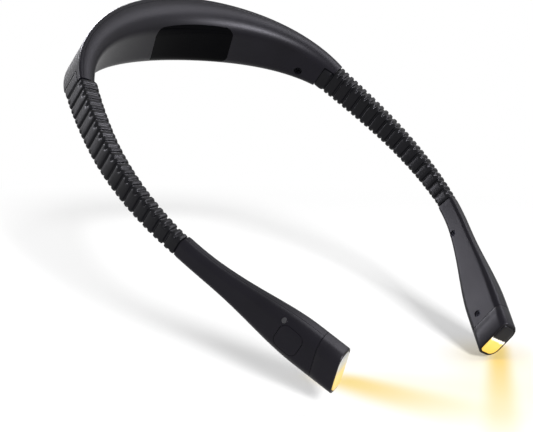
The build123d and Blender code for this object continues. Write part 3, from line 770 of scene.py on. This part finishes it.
collar_stocks = {
    "battery_cell": "shrink_wrap_pvc",
    "battery_pad": "open_cell_foam",
    "battery_leads": "red_pvc_wire",
    "driver_board": "solder_mask_board",
    "charging_socket": "pressed_steel",
    "arm_root_ferrules": "drawn_brass",
}
head_stocks = {
    "head_ferrule": "drawn_brass",
    "reflector": "white_reflector_abs",
    "led_board": "white_mask_board",
    "led_chips": "led_phosphor_gel",
    "led_lead": "black_pvc_wire",
    "switch_board": "solder_mask_board",
    "switch": "switch_nylon",
    "switch_plunger": "switch_nylon",
}
for node, stock in collar_stocks.items():
    dress(node, stock)
hands = ((1, "right"), (-1, "left"))
for side, hand in hands:
    for node, stock in head_stocks.items():
        dress(f"{hand}_{node}", stock)

# Arm sleeves: black silicone rubber moulded in fifteen 6 mm bands over the wire core. A slim groove
# parts the bands all round, and a notch at mid band splits each narrow face into two knobs. Each
# sleeve is made in three lengths, which meet in the bottom of a groove.
sleeve_root_half = (4.5, 7.1)
sleeve_end_half = (3.4, 4.2)
sleeve_crisp_corners = (1.3, 2.0)
sleeve_soft_corners = (2.9, 2.1)
cuff_drop = 2.35
plug_reach = 11.5
plug_inset = 1.75
plug_corner = 0.8
plug_overlap = 0.15
groove_width = 1.0
groove_depth = 1.0
notch_width = 1.0
notch_depth = 0.9
groove_floor_share = 0.3
knob_edge_shares = (0.6, 0.22)
sleeve_bore = 1.7
cuff_rows = (
    (-5.85, 0.35),
    (-5.7, 0.1),
    (-5.3, 0.0),
    (-4.0, -0.08),
    (-2.4, -0.08),
    (-1.3, 0.05),
    (-0.9, 0.2),
    (-0.6, 0.5),
    (-0.35, 0.7),
    (-0.05, 0.75),
)
crown_depth = 0.55
crown_power = 3.0
sleeve_end_trim = 1e-3
sleeve_smooth = 80.0
sleeve_splits = ((0, 6), (6, 12), (12, 15))
blend_ends = ((4.0, 32.0), (39.0, 69.0), (73.0, 87.0))


# A rounded section, as points that each come with the way inwards. The corners are the radii of
# its outer top, inner top, inner low and outer low.
def soft_section(half, corners, arc_steps=7, face_steps=14, edge_steps=6):
    x, y = half
    ring = []
    quarters = ((1, 1), (-1, 1), (-1, -1), (1, -1))
    for (sign_x, sign_y), radius in zip(quarters, corners):
        quarter = []
        for step in range(face_steps // 2 + 1):
            quarter.append((x, (y - radius) * step / (face_steps // 2), -1.0, 0.0))
        for step in range(1, arc_steps + 1):
            turn = math.pi / 2 * step / arc_steps
            a, b = math.cos(turn), math.sin(turn)
            quarter.append((x - radius + radius * a, y - radius + radius * b, -a, -b))
        for step in range(1, edge_steps // 2 + 1):
            quarter.append(((x - radius) * (1 - step / (edge_steps // 2)), y, 0.0, -1.0))
        quarter = quarter[:-1] if sign_x == sign_y else quarter[:0:-1]
        ring += [(sign_x * a, sign_y * b, sign_x * c, sign_y * d) for a, b, c, d in quarter]
    return ring


def sleeve_half(distance):
    share = max(distance, 0) / arm_length
    return tuple(a + (b - a) * share for a, b in zip(sleeve_root_half, sleeve_end_half))


def sleeve_corners(distance):
    share = max(distance, 0) / arm_length
    crisp, soft = (
        first + (last - first) * share for first, last in (sleeve_crisp_corners, sleeve_soft_corners)
    )
    return crisp, soft, soft, crisp


# How far a point of a section belongs to a narrow face, where the notches are
def edge_share(y, height):
    start, width = knob_edge_shares
    rise = min(1.0, max(0.0, (abs(y) / height - start) / width))
    return rise * rise * (3 - 2 * rise)


band_steps = (0.0, 0.2, 0.4, 0.5, 0.6, 0.7, 0.8, 1.0, 1.4, 1.9, 2.25, 2.45, 2.6, 2.75, 2.9, 3.0)
band_steps += tuple(band_length - step for step in band_steps[-2:0:-1])


# A length of sleeve, still smooth outside, with what the rib tree reads stored on its points
def sleeve_blank(name, side, first_band, last_band):
    rows = []
    if first_band == 0:
        for distance in (-plug_reach, -cuff_length + plug_overlap):
            half = tuple(value - plug_inset for value in collar_half(1 + distance / collar_half_length))
            rows.append((distance, half, 0.0, (plug_corner,) * 4))
        cuff_top = sleeve_root_half[1] - cuff_drop
        cuff_half = (sleeve_root_half[0], (cuff_top + sleeve_root_half[1]) / 2)
        cuff_shift = (cuff_top - sleeve_root_half[1]) / 2
        corners = sleeve_corners(0)
        for distance, inset in cuff_rows:
            half = tuple(value - inset for value in cuff_half)
            rows.append((distance, half, cuff_shift, tuple(value - inset / 2 for value in corners)))
    ribbed_from = len(rows)
    for band in range(first_band, last_band):
        for step in band_steps:
            distance = band * band_length + step
            rows.append((distance, sleeve_half(distance), 0.0, sleeve_corners(distance)))
    distance = last_band * band_length - sleeve_end_trim
    rows.append((distance, sleeve_half(distance), 0.0, sleeve_corners(distance)))
    outside, inside, runs, edges, inwards = [], [], [], [], []
    for row, (distance, half, shift, corners) in enumerate(rows):
        place = station(side, distance)
        ring, hole = [], []
        for x, y, turn_x, turn_y in soft_section(half, corners):
            ring.append(at(place, x, y + shift))
            bearing = Vector((x, y + shift)).normalized() * sleeve_bore
            hole.append(at(place, bearing.x, bearing.y))
            runs.append(distance)
            edges.append(edge_share(y, half[1]))
            way = place[1] * turn_x + place[2] * turn_y
            inwards.append(way if row >= ribbed_from else Vector((0, 0, 0)))
        outside.append(ring)
        inside.append(hole)
    count = len(runs)
    blank = skin(name, outside + inside[::-1], smooth=sleeve_smooth, close=True)
    for label, values in (("run", runs), ("edge", edges)):
        layer = blank.data.attributes.new(label, "FLOAT", "POINT")
        layer.data.foreach_set("value", values + [0.0] * count)
    layer = blank.data.attributes.new("inward", "FLOAT_VECTOR", "POINT")
    layer.data.foreach_set("vector", [c for way in inwards for c in way] + [0.0] * count * 3)
    return blank


# The rib tree sinks the points of a sleeve into grooves and notches along its run
def rib_tree():
    sizes = ("Band length", "Groove width", "Groove depth", "Notch width", "Notch depth", "Crown", "Unit")
    inputs = [(size, "Float") for size in sizes] + [("Finish", "Material")]
    tree, given = shape_tree("sleeve_ribs", inputs)

    def read(name, kind="FLOAT"):
        stored = add_node(tree, "GeometryNodeInputNamedAttribute", {"Name": name}, data_type=kind)
        return stored.outputs["Attribute"]

    def work(operation, first, second):
        return add_node(tree, "ShaderNodeMath", {0: first, 1: second}, operation=operation).outputs[0]

    def dip(distance, floor_width, full_width):
        span = (floor_width, full_width)
        return ranged(tree, distance, span, (1.0, 0.0), interpolation_type="SMOOTHSTEP")

    phase = work("FLOORED_MODULO", read("run"), given["Band length"])
    to_groove = work("MINIMUM", phase, work("SUBTRACT", given["Band length"], phase))
    half_band = work("MULTIPLY", given["Band length"], 0.5)
    to_notch = work("ABSOLUTE", work("SUBTRACT", phase, half_band), 0.0)
    groove_floor = work("MULTIPLY", given["Groove width"], groove_floor_share)
    groove = dip(to_groove, groove_floor, given["Groove width"])
    notch = dip(to_notch, 0.0, given["Notch width"])
    notch_here = work("MULTIPLY", work("MULTIPLY", notch, given["Notch depth"]), read("edge"))
    off_middle = work("DIVIDE", to_notch, half_band)
    crown = work("MULTIPLY", work("POWER", off_middle, crown_power), given["Crown"])
    depth = work("MAXIMUM", work("MULTIPLY", groove, given["Groove depth"]), work("ADD", crown, notch_here))
    sink = add_node(
        tree,
        "ShaderNodeVectorMath",
        {0: read("inward", "FLOAT_VECTOR"), "Scale": work("MULTIPLY", depth, given["Unit"])},
        operation="SCALE",
    )
    moved = add_node(
        tree, "GeometryNodeSetPosition", {"Geometry": given["Geometry"], "Offset": sink.outputs["Vector"]}
    )
    end_tree(tree, moved.outputs["Geometry"], given["Finish"])
    return tree


# Silicone rubber: a low sheen that drifts with a fine bloom of dust, over a grain of 0.2 mm
black_rubber, tree, coords = new_material("silicone_rubber")
grain = noise(tree, coords, 5000.0, 2.0)
bloom = noise(tree, coords, 140.0, 3.0)
surfaced(
    tree,
    {
        "Base Color": blended(tree, bloom, linear("#060608"), linear("#0c0c0f")),
        "Roughness": ranged(tree, bloom, (0.3, 0.7), (0.32, 0.44)),
        "Normal": bumped(tree, grain, 0.2, 0.00002),
        "IOR": 1.43,
        "Specular IOR Level": 0.14,
    },
)

ribs_tree = rib_tree()
rib_sizes = {
    "Band length": band_length,
    "Groove width": groove_width,
    "Groove depth": groove_depth,
    "Notch width": notch_width,
    "Notch depth": notch_depth,
    "Crown": crown_depth,
    "Unit": MM,
    "Finish": black_rubber,
}


# Bake a piece's placement into its mesh. The stretch along which the arm's pieces would bend is
# worked out but not used.
def bend_with(piece, side, part):
    start, end = (station(side, distance)[0] * MM for distance in blend_ends[part])
    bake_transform(piece)


lengths = ("near", "middle", "far")
for side, hand in hands:
    for part, (first_band, last_band) in enumerate(sleeve_splits):
        sleeve = sleeve_blank(f"{hand}_sleeve_{lengths[part]}", side, first_band, last_band)
        use_tree(sleeve, ribs_tree, rib_sizes)
        bake(sleeve, smooth=sleeve_smooth)
        bend_with(sleeve, side, part)
        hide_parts(f"{hand}_sleeve")

# Inside each arm: a hollow wound core of spring steel that holds the bend, drawn as a plain tube,
# with the insulated lead through it. Both are made in three lengths, like the sleeve.
core_radius = 1.6
core_bore = 0.95
core_start = -14.45
core_end = 102.0
core_stride = 1.5
tube_smooth = 60.0
near_end = 36.0
middle_end = 72.0
core_splits = ((core_start, near_end), (near_end, middle_end), (middle_end, core_end))


# A round tube along some centres, or a solid rod when its bore is 0
def tube(name, centres, radius, bore, steps=16):
    rings, holes = [], []
    for k, centre in enumerate(centres):
        run = (centres[min(k + 1, len(centres) - 1)] - centres[max(k - 1, 0)]).normalized()
        across = run.cross(UP).normalized()
        rise = across.cross(run)
        turn = circle(1.0, steps=steps)
        rings.append([centre + (across * a + rise * b) * radius for a, b in turn])
        holes.append([centre + (across * a + rise * b) * bore for a, b in turn])
    if bore:
        return skin(name, rings + holes[::-1], smooth=tube_smooth, close=True)
    return skin(name, rings, smooth=tube_smooth)


for side, hand in hands:
    for part, (start, end) in enumerate(core_splits):
        count = round((end - start) / core_stride)
        centres = [station(side, start + (end - start) * k / count)[0] for k in range(count + 1)]
        core = tube(f"{hand}_core_{lengths[part]}", centres, core_radius, core_bore)
        core.data.materials.append(finishes["spring_steel"])
        bend_with(core, side, part)
        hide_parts(f"{hand}_bendable_core")

# The leads: one insulated wire an arm, from the driver board in the collar through the wire core to
# the switch board in the head. The left one crosses over the cell.
lead_radius = 0.75
lead_spacing = 2.0
driver_share = 0.46
lead_start = 11.2
lead_rest = -0.05
post_rise = 3.0
over_cell = 12.3
cell_reach = 22.0
cell_crossing = (
    (cell_reach, 0.85),
    (cell_reach / 2, 1.0),
    (0.0, 1.0),
    (-cell_reach / 2, 1.0),
    (-cell_reach, 0.85),
)
left_descent = ((-0.4, 0.6), (-0.55, 0.25), (-0.7, 0.0))
right_exit = ((0.65, -0.05, 1.5), (0.73, 0.0, 0.0))
near_stride = 7.76
near_count = 7
far_stride = 4.0
far_count = 8
head_lead_spots = (
    (13.5, 0, 0),
    (18.0, 0, 0.75),
    (24.8, 0, 0.75),
    (37.2, 0.75, 0.38),
    (48.9, 0.95, 0),
    (49.9, 0.95, 0),
)


# A smooth run of evenly spaced points through some given ones
def smooth_run(spots, spacing):
    points = []
    for k in range(len(spots) - 1):
        before = spots[max(k - 1, 0)]
        after = spots[min(k + 2, len(spots) - 1)]
        a, b = spots[k], spots[k + 1]
        steps = max(1, round((b - a).length / spacing))
        pull_a, pull_b = (b - before) / 2, (after - a) / 2
        for step in range(steps):
            t = step / steps
            points.append(
                a * (2 * t**3 - 3 * t * t + 1)
                + pull_a * (t**3 - 2 * t * t + t)
                + b * (3 * t * t - 2 * t**3)
                + pull_b * (t**3 - t * t)
            )
    return points + [spots[-1]]


driver_at = collar_half_length * driver_share
for side, hand in hands:
    first = collar_place((driver_at + side * lead_start) / collar_half_length)
    near = [at(first, lead_rest, post_rise)]
    if side < 0:
        for reach, share in cell_crossing:
            near.append(at(collar_place(reach / collar_half_length), 0, over_cell * share))
        near += [at(collar_place(share), 0, over_cell * rise) for share, rise in left_descent]
    else:
        near += [at(collar_place(share), level, rise) for share, level, rise in right_exit]
    near += [station(side, core_start + near_stride * step)[0] for step in range(near_count)]
    handover, _, _, onward = station(side, near_end)
    short = [spot for spot in smooth_run(near, lead_spacing) if (spot - handover).dot(onward) < 0]
    runs = [short + [handover]]
    count = round((middle_end - near_end) / core_stride)
    runs.append([station(side, near_end + core_stride * step)[0] for step in range(count + 1)])
    far = [station(side, middle_end + far_stride * step)[0] for step in range(far_count)]
    far += [at(station(side, arm_length + d), x, y) for d, x, y in head_lead_spots]
    runs.append(smooth_run(far, lead_spacing))
    for part, centres in enumerate(runs):
        lead = tube(f"{hand}_lead_{lengths[part]}", centres, lead_radius, 0.0, steps=12)
        lead.data.materials.append(finishes["black_pvc_wire"])
        bend_with(lead, side, part)
        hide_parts(f"{hand}_lead")

# Lamp heads: two half shells of the collar's satin ABS a side, with their seam on the narrow faces.
# They flare from the sleeve's end to the lamp. The outer one has a window for the button and a hole
# for the indicator, and the inner one carries two deep screw counterbores.
head_length = 78.0
head_neck_half = (3.3, 4.5)
head_lamp_half = (5.75, 8.9)
head_flare_length = 62.0
flare_powers = (6, 3)
head_flare_steps = 52
head_lean_steps = 6
head_neck_inset = 0.12
head_seam_gap = 0.05
head_chamfer = 0.05
head_wall = 1.15
head_corner_shares = (0.85, 0.5)
face_slant = math.tan(math.radians(15.0))
cap_line = head_length - 10.3
button_at = head_length - 22.6
button_rise = 0.6
button_size = 10.5
button_corner = 3.0
button_fit = 0.2
indicator_at = head_length - 28.1
indicator_rise = 6.3
indicator_radius = 1.0
indicator_fit = 0.1
opening_start = 0.5
past_face = 12.0
head_screw_places = (18.0, head_length - 14.0)
head_screw_drop = 2.6
head_screw_head = (1.5, 1.0)
head_screw_sink = 0.6
head_boss = (0.45, 0.5)
head_shank_hole = 0.9


def head_half(distance):
    flare = math.sin(math.pi / 2 * min(distance / head_flare_length, 1))
    return tuple(
        a + (b - a) * flare**power
        for a, b, power in zip(head_neck_half, head_lamp_half, flare_powers)
    )


def head_place(side, distance):
    return station(side, arm_length + distance)


# Distances along the head, and how far each section has leaned over to the lamp's slant
def head_stations(end):
    straight = [(head_flare_length * step / head_flare_steps, 0.0) for step in range(head_flare_steps + 1)]
    leaning = [
        (head_flare_length + (end - head_flare_length) * step / head_lean_steps, step / head_lean_steps)
        for step in range(1, head_lean_steps + 1)
    ]
    return straight + leaning


def head_shell(name, side, facing):
    rings = []
    for distance, lean in head_stations(cap_line - head_seam_gap):
        half = head_half(distance)
        place = head_place(side, distance)
        inset = head_neck_inset if distance == 0 else 0.0
        half = (half[0] - inset, half[1] - inset)
        corner = half[0] * head_corner_shares[0 if facing > 0 else 1]
        loop = wall_loop(half, facing, ((corner, corner),) * 2, head_wall, head_chamfer, face_steps=12)
        rings.append([at(place, x, y, -y * face_slant * lean) for x, y in loop])
    return skin(name, rings)


def head_corners(half, inset=0.0):
    outer, inner = (max(half[0] * share - inset, 0.3) for share in head_corner_shares)
    return outer, inner, inner, outer


# The head's whole outline as one solid, to cut the button and the light pipe to its curve
def head_solid(side):
    rings = []
    for distance, _ in head_stations(cap_line):
        half = head_half(distance)
        ring = soft_section(half, head_corners(half), face_steps=16, edge_steps=10)
        rings.append([at(head_place(side, distance), x, y) for x, y, _, _ in ring])
    return skin("head_solid", rings)


for side, hand in hands:
    outer = head_shell(f"{hand}_head_outer_cover", side, 1)
    inner = head_shell(f"{hand}_head_inner_cover", side, -1)
    window_size = button_size + 2 * button_fit
    window = rounded(window_size, window_size, button_corner + button_fit, (button_rise, 0.0))
    light_hole = circle(indicator_radius + indicator_fit, (indicator_rise, 0.0), 40)
    openings = [
        block(head_place(side, button_at), window, opening_start, past_face),
        block(head_place(side, indicator_at), light_hole, opening_start, past_face),
    ]
    posts, holes = [], []
    for distance in head_screw_places:
        place, depth = head_place(side, distance), head_half(distance)[0]
        middle = (-head_screw_drop, 0.0)
        post, bores = screw_seat(
            place, depth, middle, head_screw_head, head_screw_sink, head_boss, head_shank_hole, 40
        )
        posts.append(post)
        holes += bores
    cut(outer, openings)
    cut(inner, posts, operation="UNION")
    cut(inner, holes)
    for piece, node in ((outer, "head_outer_shell"), (inner, "head_inner_shell")):
        piece.data.materials.append(satin_abs)
        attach(piece, f"{hand}_head")
        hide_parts(f"{hand}_{node}")

# Head screws: the collar screws' smaller kin in the same blackened steel, two sunk in the neck side
# of each head. The one near the lamp is longer, as the head is deeper there.
head_shank_radius = 0.8
head_screw_lengths = (3.6, 7.0)
for side, hand in hands:
    for k, (distance, length) in enumerate(zip(head_screw_places, head_screw_lengths)):
        screw = screw_form("screw", head_screw_head, (head_shank_radius, length))
        place, depth = head_place(side, distance), head_half(distance)[0]
        spot = at(place, -depth + head_screw_sink, -head_screw_drop)
        head_screw = points_mesh(f"{hand}_head_screw_{k + 1}", [spot], [-place[1]])
        use_tree(head_screw, screws_tree, {"Screw": screw, "Finish": black_steel, "Size": 1.0})
        bake(head_screw)
        bpy.data.objects.remove(screw)
        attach(head_screw, f"{hand}_head")
        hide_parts(f"{hand}_head_screws")

# Push buttons: a rounded square of the same ABS, cut to the head's own curve, with an eased edge.
# Each slides half a millimetre inwards in its window.
button_base = 3.15
button_ease = (0.35, 3)
eased_smooth = 40.0
for side, hand in hands:
    place = head_place(side, button_at)
    outline = rounded(button_size, button_size, button_corner, (button_rise, 0.0))
    button = block(place, outline, button_base, past_face)
    cut(button, [head_solid(side)], operation="INTERSECT")
    button.name = button.data.name = f"{hand}_button_cap"
    ease_edges(button, *button_ease, smooth=eased_smooth)
    button.data.materials.append(satin_abs)
    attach(button, f"{hand}_button")
    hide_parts(f"{hand}_button")

# Indicators: a plain round pin of smoked acrylic in the outer shell of each head, by the button. It
# is unlit, so its well rounded end shows as a dim grey disc.
indicator_base = 0.2
indicator_ease = (0.6, 5)
smoked_acrylic, tree, coords = new_material("light_pipe_acrylic")
cloud = noise(tree, coords, 1800.0, 2.0)
surfaced(
    tree,
    {
        "Base Color": blended(tree, cloud, linear("#121215"), linear("#1b1b1f")),
        "Roughness": 0.2,
        "IOR": 1.49,
        "Specular IOR Level": 0.6,
        "Transmission Weight": 0.05,
    },
)

for side, hand in hands:
    place = head_place(side, indicator_at)
    outline = circle(indicator_radius, (indicator_rise, 0.0), 40)
    pipe = block(place, outline, indicator_base, past_face)
    cut(pipe, [head_solid(side)], operation="INTERSECT")
    pipe.name = pipe.data.name = f"{hand}_indicator_pipe"
    ease_edges(pipe, *indicator_ease, smooth=eased_smooth)
    pipe.data.materials.append(smoked_acrylic)
    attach(pipe, f"{hand}_head")
    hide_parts(f"{hand}_indicator")

# End caps: short sleeves with a slanted mouth, in the heads' satin ABS with a slightly brighter
# sheen. A spigot plugs each into its head, and a lip inside carries the lamp's stack.
cap_wall = 1.2
cap_spigot = 2.2
cap_lip = 0.9
cap_sheen = 0.085
cap_smooth = 50.0
lip_level = head_length - 6.5


# Rings of a section, each at a distance and an inset, all leaning with the lamp's face
def slanted_rings(side, profile, **steps):
    rings = []
    for distance, inset in profile:
        half = tuple(value - inset for value in head_lamp_half)
        ring = soft_section(half, head_corners(head_lamp_half, inset), **steps)
        place = head_place(side, distance)
        rings.append([at(place, x, y, -y * face_slant) for x, y, _, _ in ring])
    return rings


cap_finish = satin_abs.copy()
cap_finish.name = "satin_abs_end_caps"
for node in cap_finish.node_tree.nodes:
    if node.type == "BSDF_PRINCIPLED":
        node.inputs["Specular IOR Level"].default_value = cap_sheen
cap_profile = (
    (cap_line + 0.05, 0.15),
    (cap_line + 0.2, 0.0),
    (cap_line + 4.0, 0.0),
    (head_length - 0.5, 0.0),
    (head_length - 0.15, 0.12),
    (head_length, 0.42),
    (head_length, cap_wall - 0.35),
    (head_length - 0.12, cap_wall - 0.1),
    (head_length - 0.35, cap_wall),
    (lip_level, cap_wall),
    (lip_level, cap_wall + cap_lip),
    (cap_line - cap_spigot, cap_wall + cap_lip),
    (cap_line - cap_spigot, head_wall + 0.1),
    (cap_line + 0.05, head_wall + 0.1),
)
for side, hand in hands:
    rings = slanted_rings(side, cap_profile)
    cap = skin(f"{hand}_end_cap_cover", rings, smooth=cap_smooth, close=True)
    cap.data.materials.append(cap_finish)
    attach(cap, f"{hand}_head")
    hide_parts(f"{hand}_end_cap")

# Lenses: milky polycarbonate slabs that stand a little proud of the caps. Their light is painted
# for the camera's view, warm on the lower part and dull at the top, though the diodes lie behind
# most of their height.
lens_inset = 1.3
lens_back = head_length - 2.0
lens_proud = 0.3
lens_cloud = 0.04
lens_smooth = 50.0


# A lens's finish, with its light painted in: the shades of its colour and its glow are stops from its low
# edge, at 0, to its top, at 1
def lens_finish(name, shades, glow):
    material, tree, coords = new_material(name)
    rise = add_node(tree, "ShaderNodeAttribute", attribute_name="rise").outputs["Fac"]
    cloud = noise(tree, coords, 700.0, 2.0)
    drift = ranged(tree, cloud, (0.0, 1.0), (-lens_cloud, lens_cloud))
    level = add_node(tree, "ShaderNodeMath", {0: rise, 1: drift}, operation="ADD")
    ramps = []
    for stops in (shades, glow):
        ramp = add_node(tree, "ShaderNodeValToRGB", {"Fac": level.outputs[0]})
        ramp.color_ramp.interpolation = "EASE"
        while len(ramp.color_ramp.elements) < len(stops):
            ramp.color_ramp.elements.new(0.5)
        for element, (place, shade) in zip(ramp.color_ramp.elements, stops):
            element.position = place
            element.color = linear(shade)
        ramps.append(ramp.outputs["Color"])
    surfaced(
        tree,
        {
            "Base Color": ramps[0],
            "Roughness": 0.3,
            "IOR": 1.58,
            "Specular IOR Level": 0.08,
            "Subsurface Weight": 0.3,
            "Subsurface Radius": (0.002, 0.0016, 0.0008),
            "Emission Color": ramps[1],
            "Emission Strength": 1.0,
        },
    )
    return material


lens_profile = (
    (lens_back, lens_inset),
    (head_length + lens_proud - 0.3, lens_inset),
    (head_length + lens_proud - 0.08, lens_inset + 0.1),
    (head_length + lens_proud, lens_inset + 0.35),
    (head_length + lens_proud, lens_inset + 2.0),
    (head_length + lens_proud, lens_inset + 3.2),
)
# Painted light on each lens, from the low edge up: warm below, then on the right lens a pale painted
# highlight band and a dark top, on the left a dull grey top
lens_painted_shades = {
    1: ((0.0, "#8d7433"), (0.42, "#9a8650"), (0.5, "#a8a496"), (0.55, "#141418"), (1.0, "#0e0e11")),
    -1: ((0.0, "#8d7433"), (0.45, "#9a8650"), (0.8, "#8e8e88"), (1.0, "#77777a")),
}
lens_painted_glows = {
    1: ((0.0, "#d6b04a"), (0.42, "#dcb44e"), (0.5, "#f4f0e4"), (0.55, "#0c0c0e"), (1.0, "#08080a")),
    -1: ((0.0, "#c4a354"), (0.45, "#bfa767"), (0.75, "#85847e"), (1.0, "#606062")),
}
for side, hand in hands:
    rings = slanted_rings(side, lens_profile)
    lens = skin(f"{hand}_lens_cover", rings, smooth=lens_smooth)
    rises = []
    for distance, inset in lens_profile:
        half = tuple(value - inset for value in head_lamp_half)
        corners = head_corners(head_lamp_half, inset)
        rises += [0.5 + y / head_lamp_half[1] / 2 for _, y, _, _ in soft_section(half, corners)]
    layer = lens.data.attributes.new("rise", "FLOAT", "POINT")
    layer.data.foreach_set("value", rises)
    polycarbonate = lens_finish(f"milky_polycarbonate_{hand}", lens_painted_shades[side], lens_painted_glows[side])
    lens.data.materials.append(polycarbonate)
    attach(lens, f"{hand}_head")
    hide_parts(f"{hand}_lens")

# Floor: plain white studio paper. The lamps' warm pools lie on it as paint, and all round the
# object, about half a metre off, it fades into the white surround.
floor_height = -0.1392
floor_reach = 2.4
floor_sides = 32
floor_fade = (0.44, 0.64)
white = (1.0, 1.0, 1.0, 1.0)
white_floor, tree, coords = new_material("white_studio_paper")
fibre = noise(tree, coords, 900.0, 3.0)
paper = blended(tree, fibre, linear("#f9f9f9"), linear("#fcfcfc"))
# Each pool: its start and end on the floor, its half width at each, its strength and its colour
pools = (
    ((-0.01, -0.112), (0.03, -0.31), 0.03, 0.13, 0.34, "#fbe6ac"),
    ((-0.012, -0.106), (-0.027, -0.22), 0.016, 0.042, 1.0, "#efd68e"),
    ((0.085, -0.12), (-0.03, -0.225), 0.03, 0.06, 0.4, "#fbe6a4"),
    ((0.086, -0.1265), (-0.09, -0.2475), 0.008, 0.015, 1.0, "#efd384"),
)
for start, end, near, far, strength, shade in pools:
    start, end = Vector((*start, 0.0)), Vector((*end, 0.0))
    run = end - start
    lie = {"Vector": coords, "Location": start, "Rotation": (0.0, 0.0, math.atan2(run.y, run.x))}
    local = add_node(tree, "ShaderNodeMapping", lie, vector_type="TEXTURE").outputs["Vector"]
    parts = add_node(tree, "ShaderNodeSeparateXYZ", {"Vector": local}).outputs
    along, length = parts["X"], (0.0, run.length)
    half_width = ranged(tree, along, length, (near, far))
    across = add_node(tree, "ShaderNodeMath", {0: parts["Y"]}, operation="ABSOLUTE").outputs[0]
    side_share = add_node(tree, "ShaderNodeMath", {0: across, 1: half_width}, operation="DIVIDE")
    fade = ranged(tree, side_share.outputs[0], (0.0, 1.0), (1.0, 0.0), interpolation_type="SMOOTHERSTEP")
    head_fade = ranged(tree, along, (-near, near), (0.0, 1.0), interpolation_type="SMOOTHERSTEP")
    tail_fade = ranged(tree, along, length, (strength, 0.0), interpolation_type="SMOOTHSTEP")
    for other in (head_fade, tail_fade):
        fade = add_node(tree, "ShaderNodeMath", {0: fade, 1: other}, operation="MULTIPLY").outputs[0]
    paper = blended(tree, fade, paper, linear(shade))
distance = add_node(tree, "ShaderNodeVectorMath", {0: coords}, operation="LENGTH").outputs["Value"]
far_off = ranged(tree, distance, floor_fade, (0.0, 1.0), interpolation_type="SMOOTHSTEP")
lit = add_node(
    tree, "ShaderNodeBsdfPrincipled", {"Base Color": paper, "Roughness": 0.9, "Specular IOR Level": 0.0}
)
plain = add_node(tree, "ShaderNodeEmission", {"Color": white, "Strength": 1.0})
surface = add_node(
    tree,
    "ShaderNodeMixShader",
    {"Fac": far_off, 1: lit.outputs["BSDF"], 2: plain.outputs["Emission"]},
)
add_node(tree, "ShaderNodeOutputMaterial", {"Surface": surface.outputs["Shader"]})

floor_mesh = bpy.data.meshes.new("studio_floor")
turns = [2 * math.pi * k / floor_sides for k in range(floor_sides)]
corners = [(floor_reach * math.cos(turn), floor_reach * math.sin(turn), floor_height) for turn in turns]
floor_mesh.from_pydata(corners, [], [tuple(range(floor_sides))])
floor = bpy.data.objects.new("studio_floor", floor_mesh)
bpy.context.collection.objects.link(floor)
floor.data.materials.append(white_floor)

# Studio light: an even white surround, one far key lamp low behind the camera that draws the long
# shadows, and four soft boxes that only gloss and clear parts see. The camera, gloss and clear
# parts see the surround as plain white, and all else is lit by it at a lower strength.
ambient_strength = 0.715
world = bpy.data.worlds.new("studio")
bpy.context.scene.world = world
world.use_nodes = True
tree = world.node_tree
tree.nodes.clear()
path = add_node(tree, "ShaderNodeLightPath").outputs
seen = path["Is Camera Ray"]
for other in (path["Is Glossy Ray"], path["Is Transmission Ray"]):
    seen = add_node(tree, "ShaderNodeMath", {0: seen, 1: other}, operation="MAXIMUM").outputs[0]
bright = add_node(tree, "ShaderNodeBackground", {"Color": white, "Strength": 1.0})
ambient = add_node(tree, "ShaderNodeBackground", {"Color": white, "Strength": ambient_strength})
both = add_node(
    tree,
    "ShaderNodeMixShader",
    {"Fac": seen, 1: ambient.outputs["Background"], 2: bright.outputs["Background"]},
)
add_node(tree, "ShaderNodeOutputWorld", {"Surface": both.outputs["Shader"]})


# A square lamp that faces a spot
def studio_lamp(name, spot, aim, size, watts, shade="#ffffff"):
    light = bpy.data.lights.new(name, "AREA")
    light.shape = "RECTANGLE"
    light.size = light.size_y = size
    light.energy = watts
    light.color = linear(shade)[:3]
    lamp = bpy.data.objects.new(name, light)
    bpy.context.collection.objects.link(lamp)
    lamp.location = spot
    lamp.rotation_euler = (Vector(aim) - Vector(spot)).to_track_quat("-Z", "Y").to_euler()
    return lamp


object_middle = Vector((0.0, -0.05, -0.06))
key_place = Vector((-2.257, -3.081, 1.1))
key_size = 0.5
key_watts = 226.0
key = studio_lamp("key_lamp", key_place, object_middle, key_size, key_watts)
key.visible_glossy = False

# Soft boxes that draw the long highlights on the plastic: way, distance, size and power
soft_box_shade = "#f6f4ff"
soft_boxes = (
    ("front_box", (0.33, -0.92, 0.21), 1.2, 0.3, 36.0),
    ("rear_box", (-0.5, 0.74, 0.36), 1.2, 0.4, 15.0),
    ("side_box", (0.3, 0.8, 0.45), 1.2, 0.4, 17.0),
    ("top_box", (0.66, -0.33, 0.67), 1.4, 0.6, 10.0),
)
for name, way, distance, size, watts in soft_boxes:
    spot = object_middle + Vector(way).normalized() * distance
    box = studio_lamp(name, spot, object_middle, size, watts, soft_box_shade)
    box.visible_diffuse = False

# Camera: at the photograph's angle, 8 degrees down, with a long lens on a full-frame sensor. Its
# place and way were fitted to the object's outline.
camera_place = (-0.4636, -0.49263, 0.01355)
camera_way = Vector((0.7227, 0.6768, -0.1401))
camera_roll = math.radians(0.16)
camera_data = bpy.data.cameras.new("camera")
camera = bpy.data.objects.new("camera", camera_data)
bpy.context.collection.objects.link(camera)
camera.location = camera_place
camera.rotation_euler = camera_way.to_track_quat("-Z", "Y").to_euler()
camera.rotation_euler.rotate_axis("Z", camera_roll)
camera_data.sensor_width = 36.0
camera_data.lens = 96.49
camera_data.clip_start = 0.01
bpy.context.scene.camera = camera
bpy.context.scene.view_settings.view_transform = "Standard"
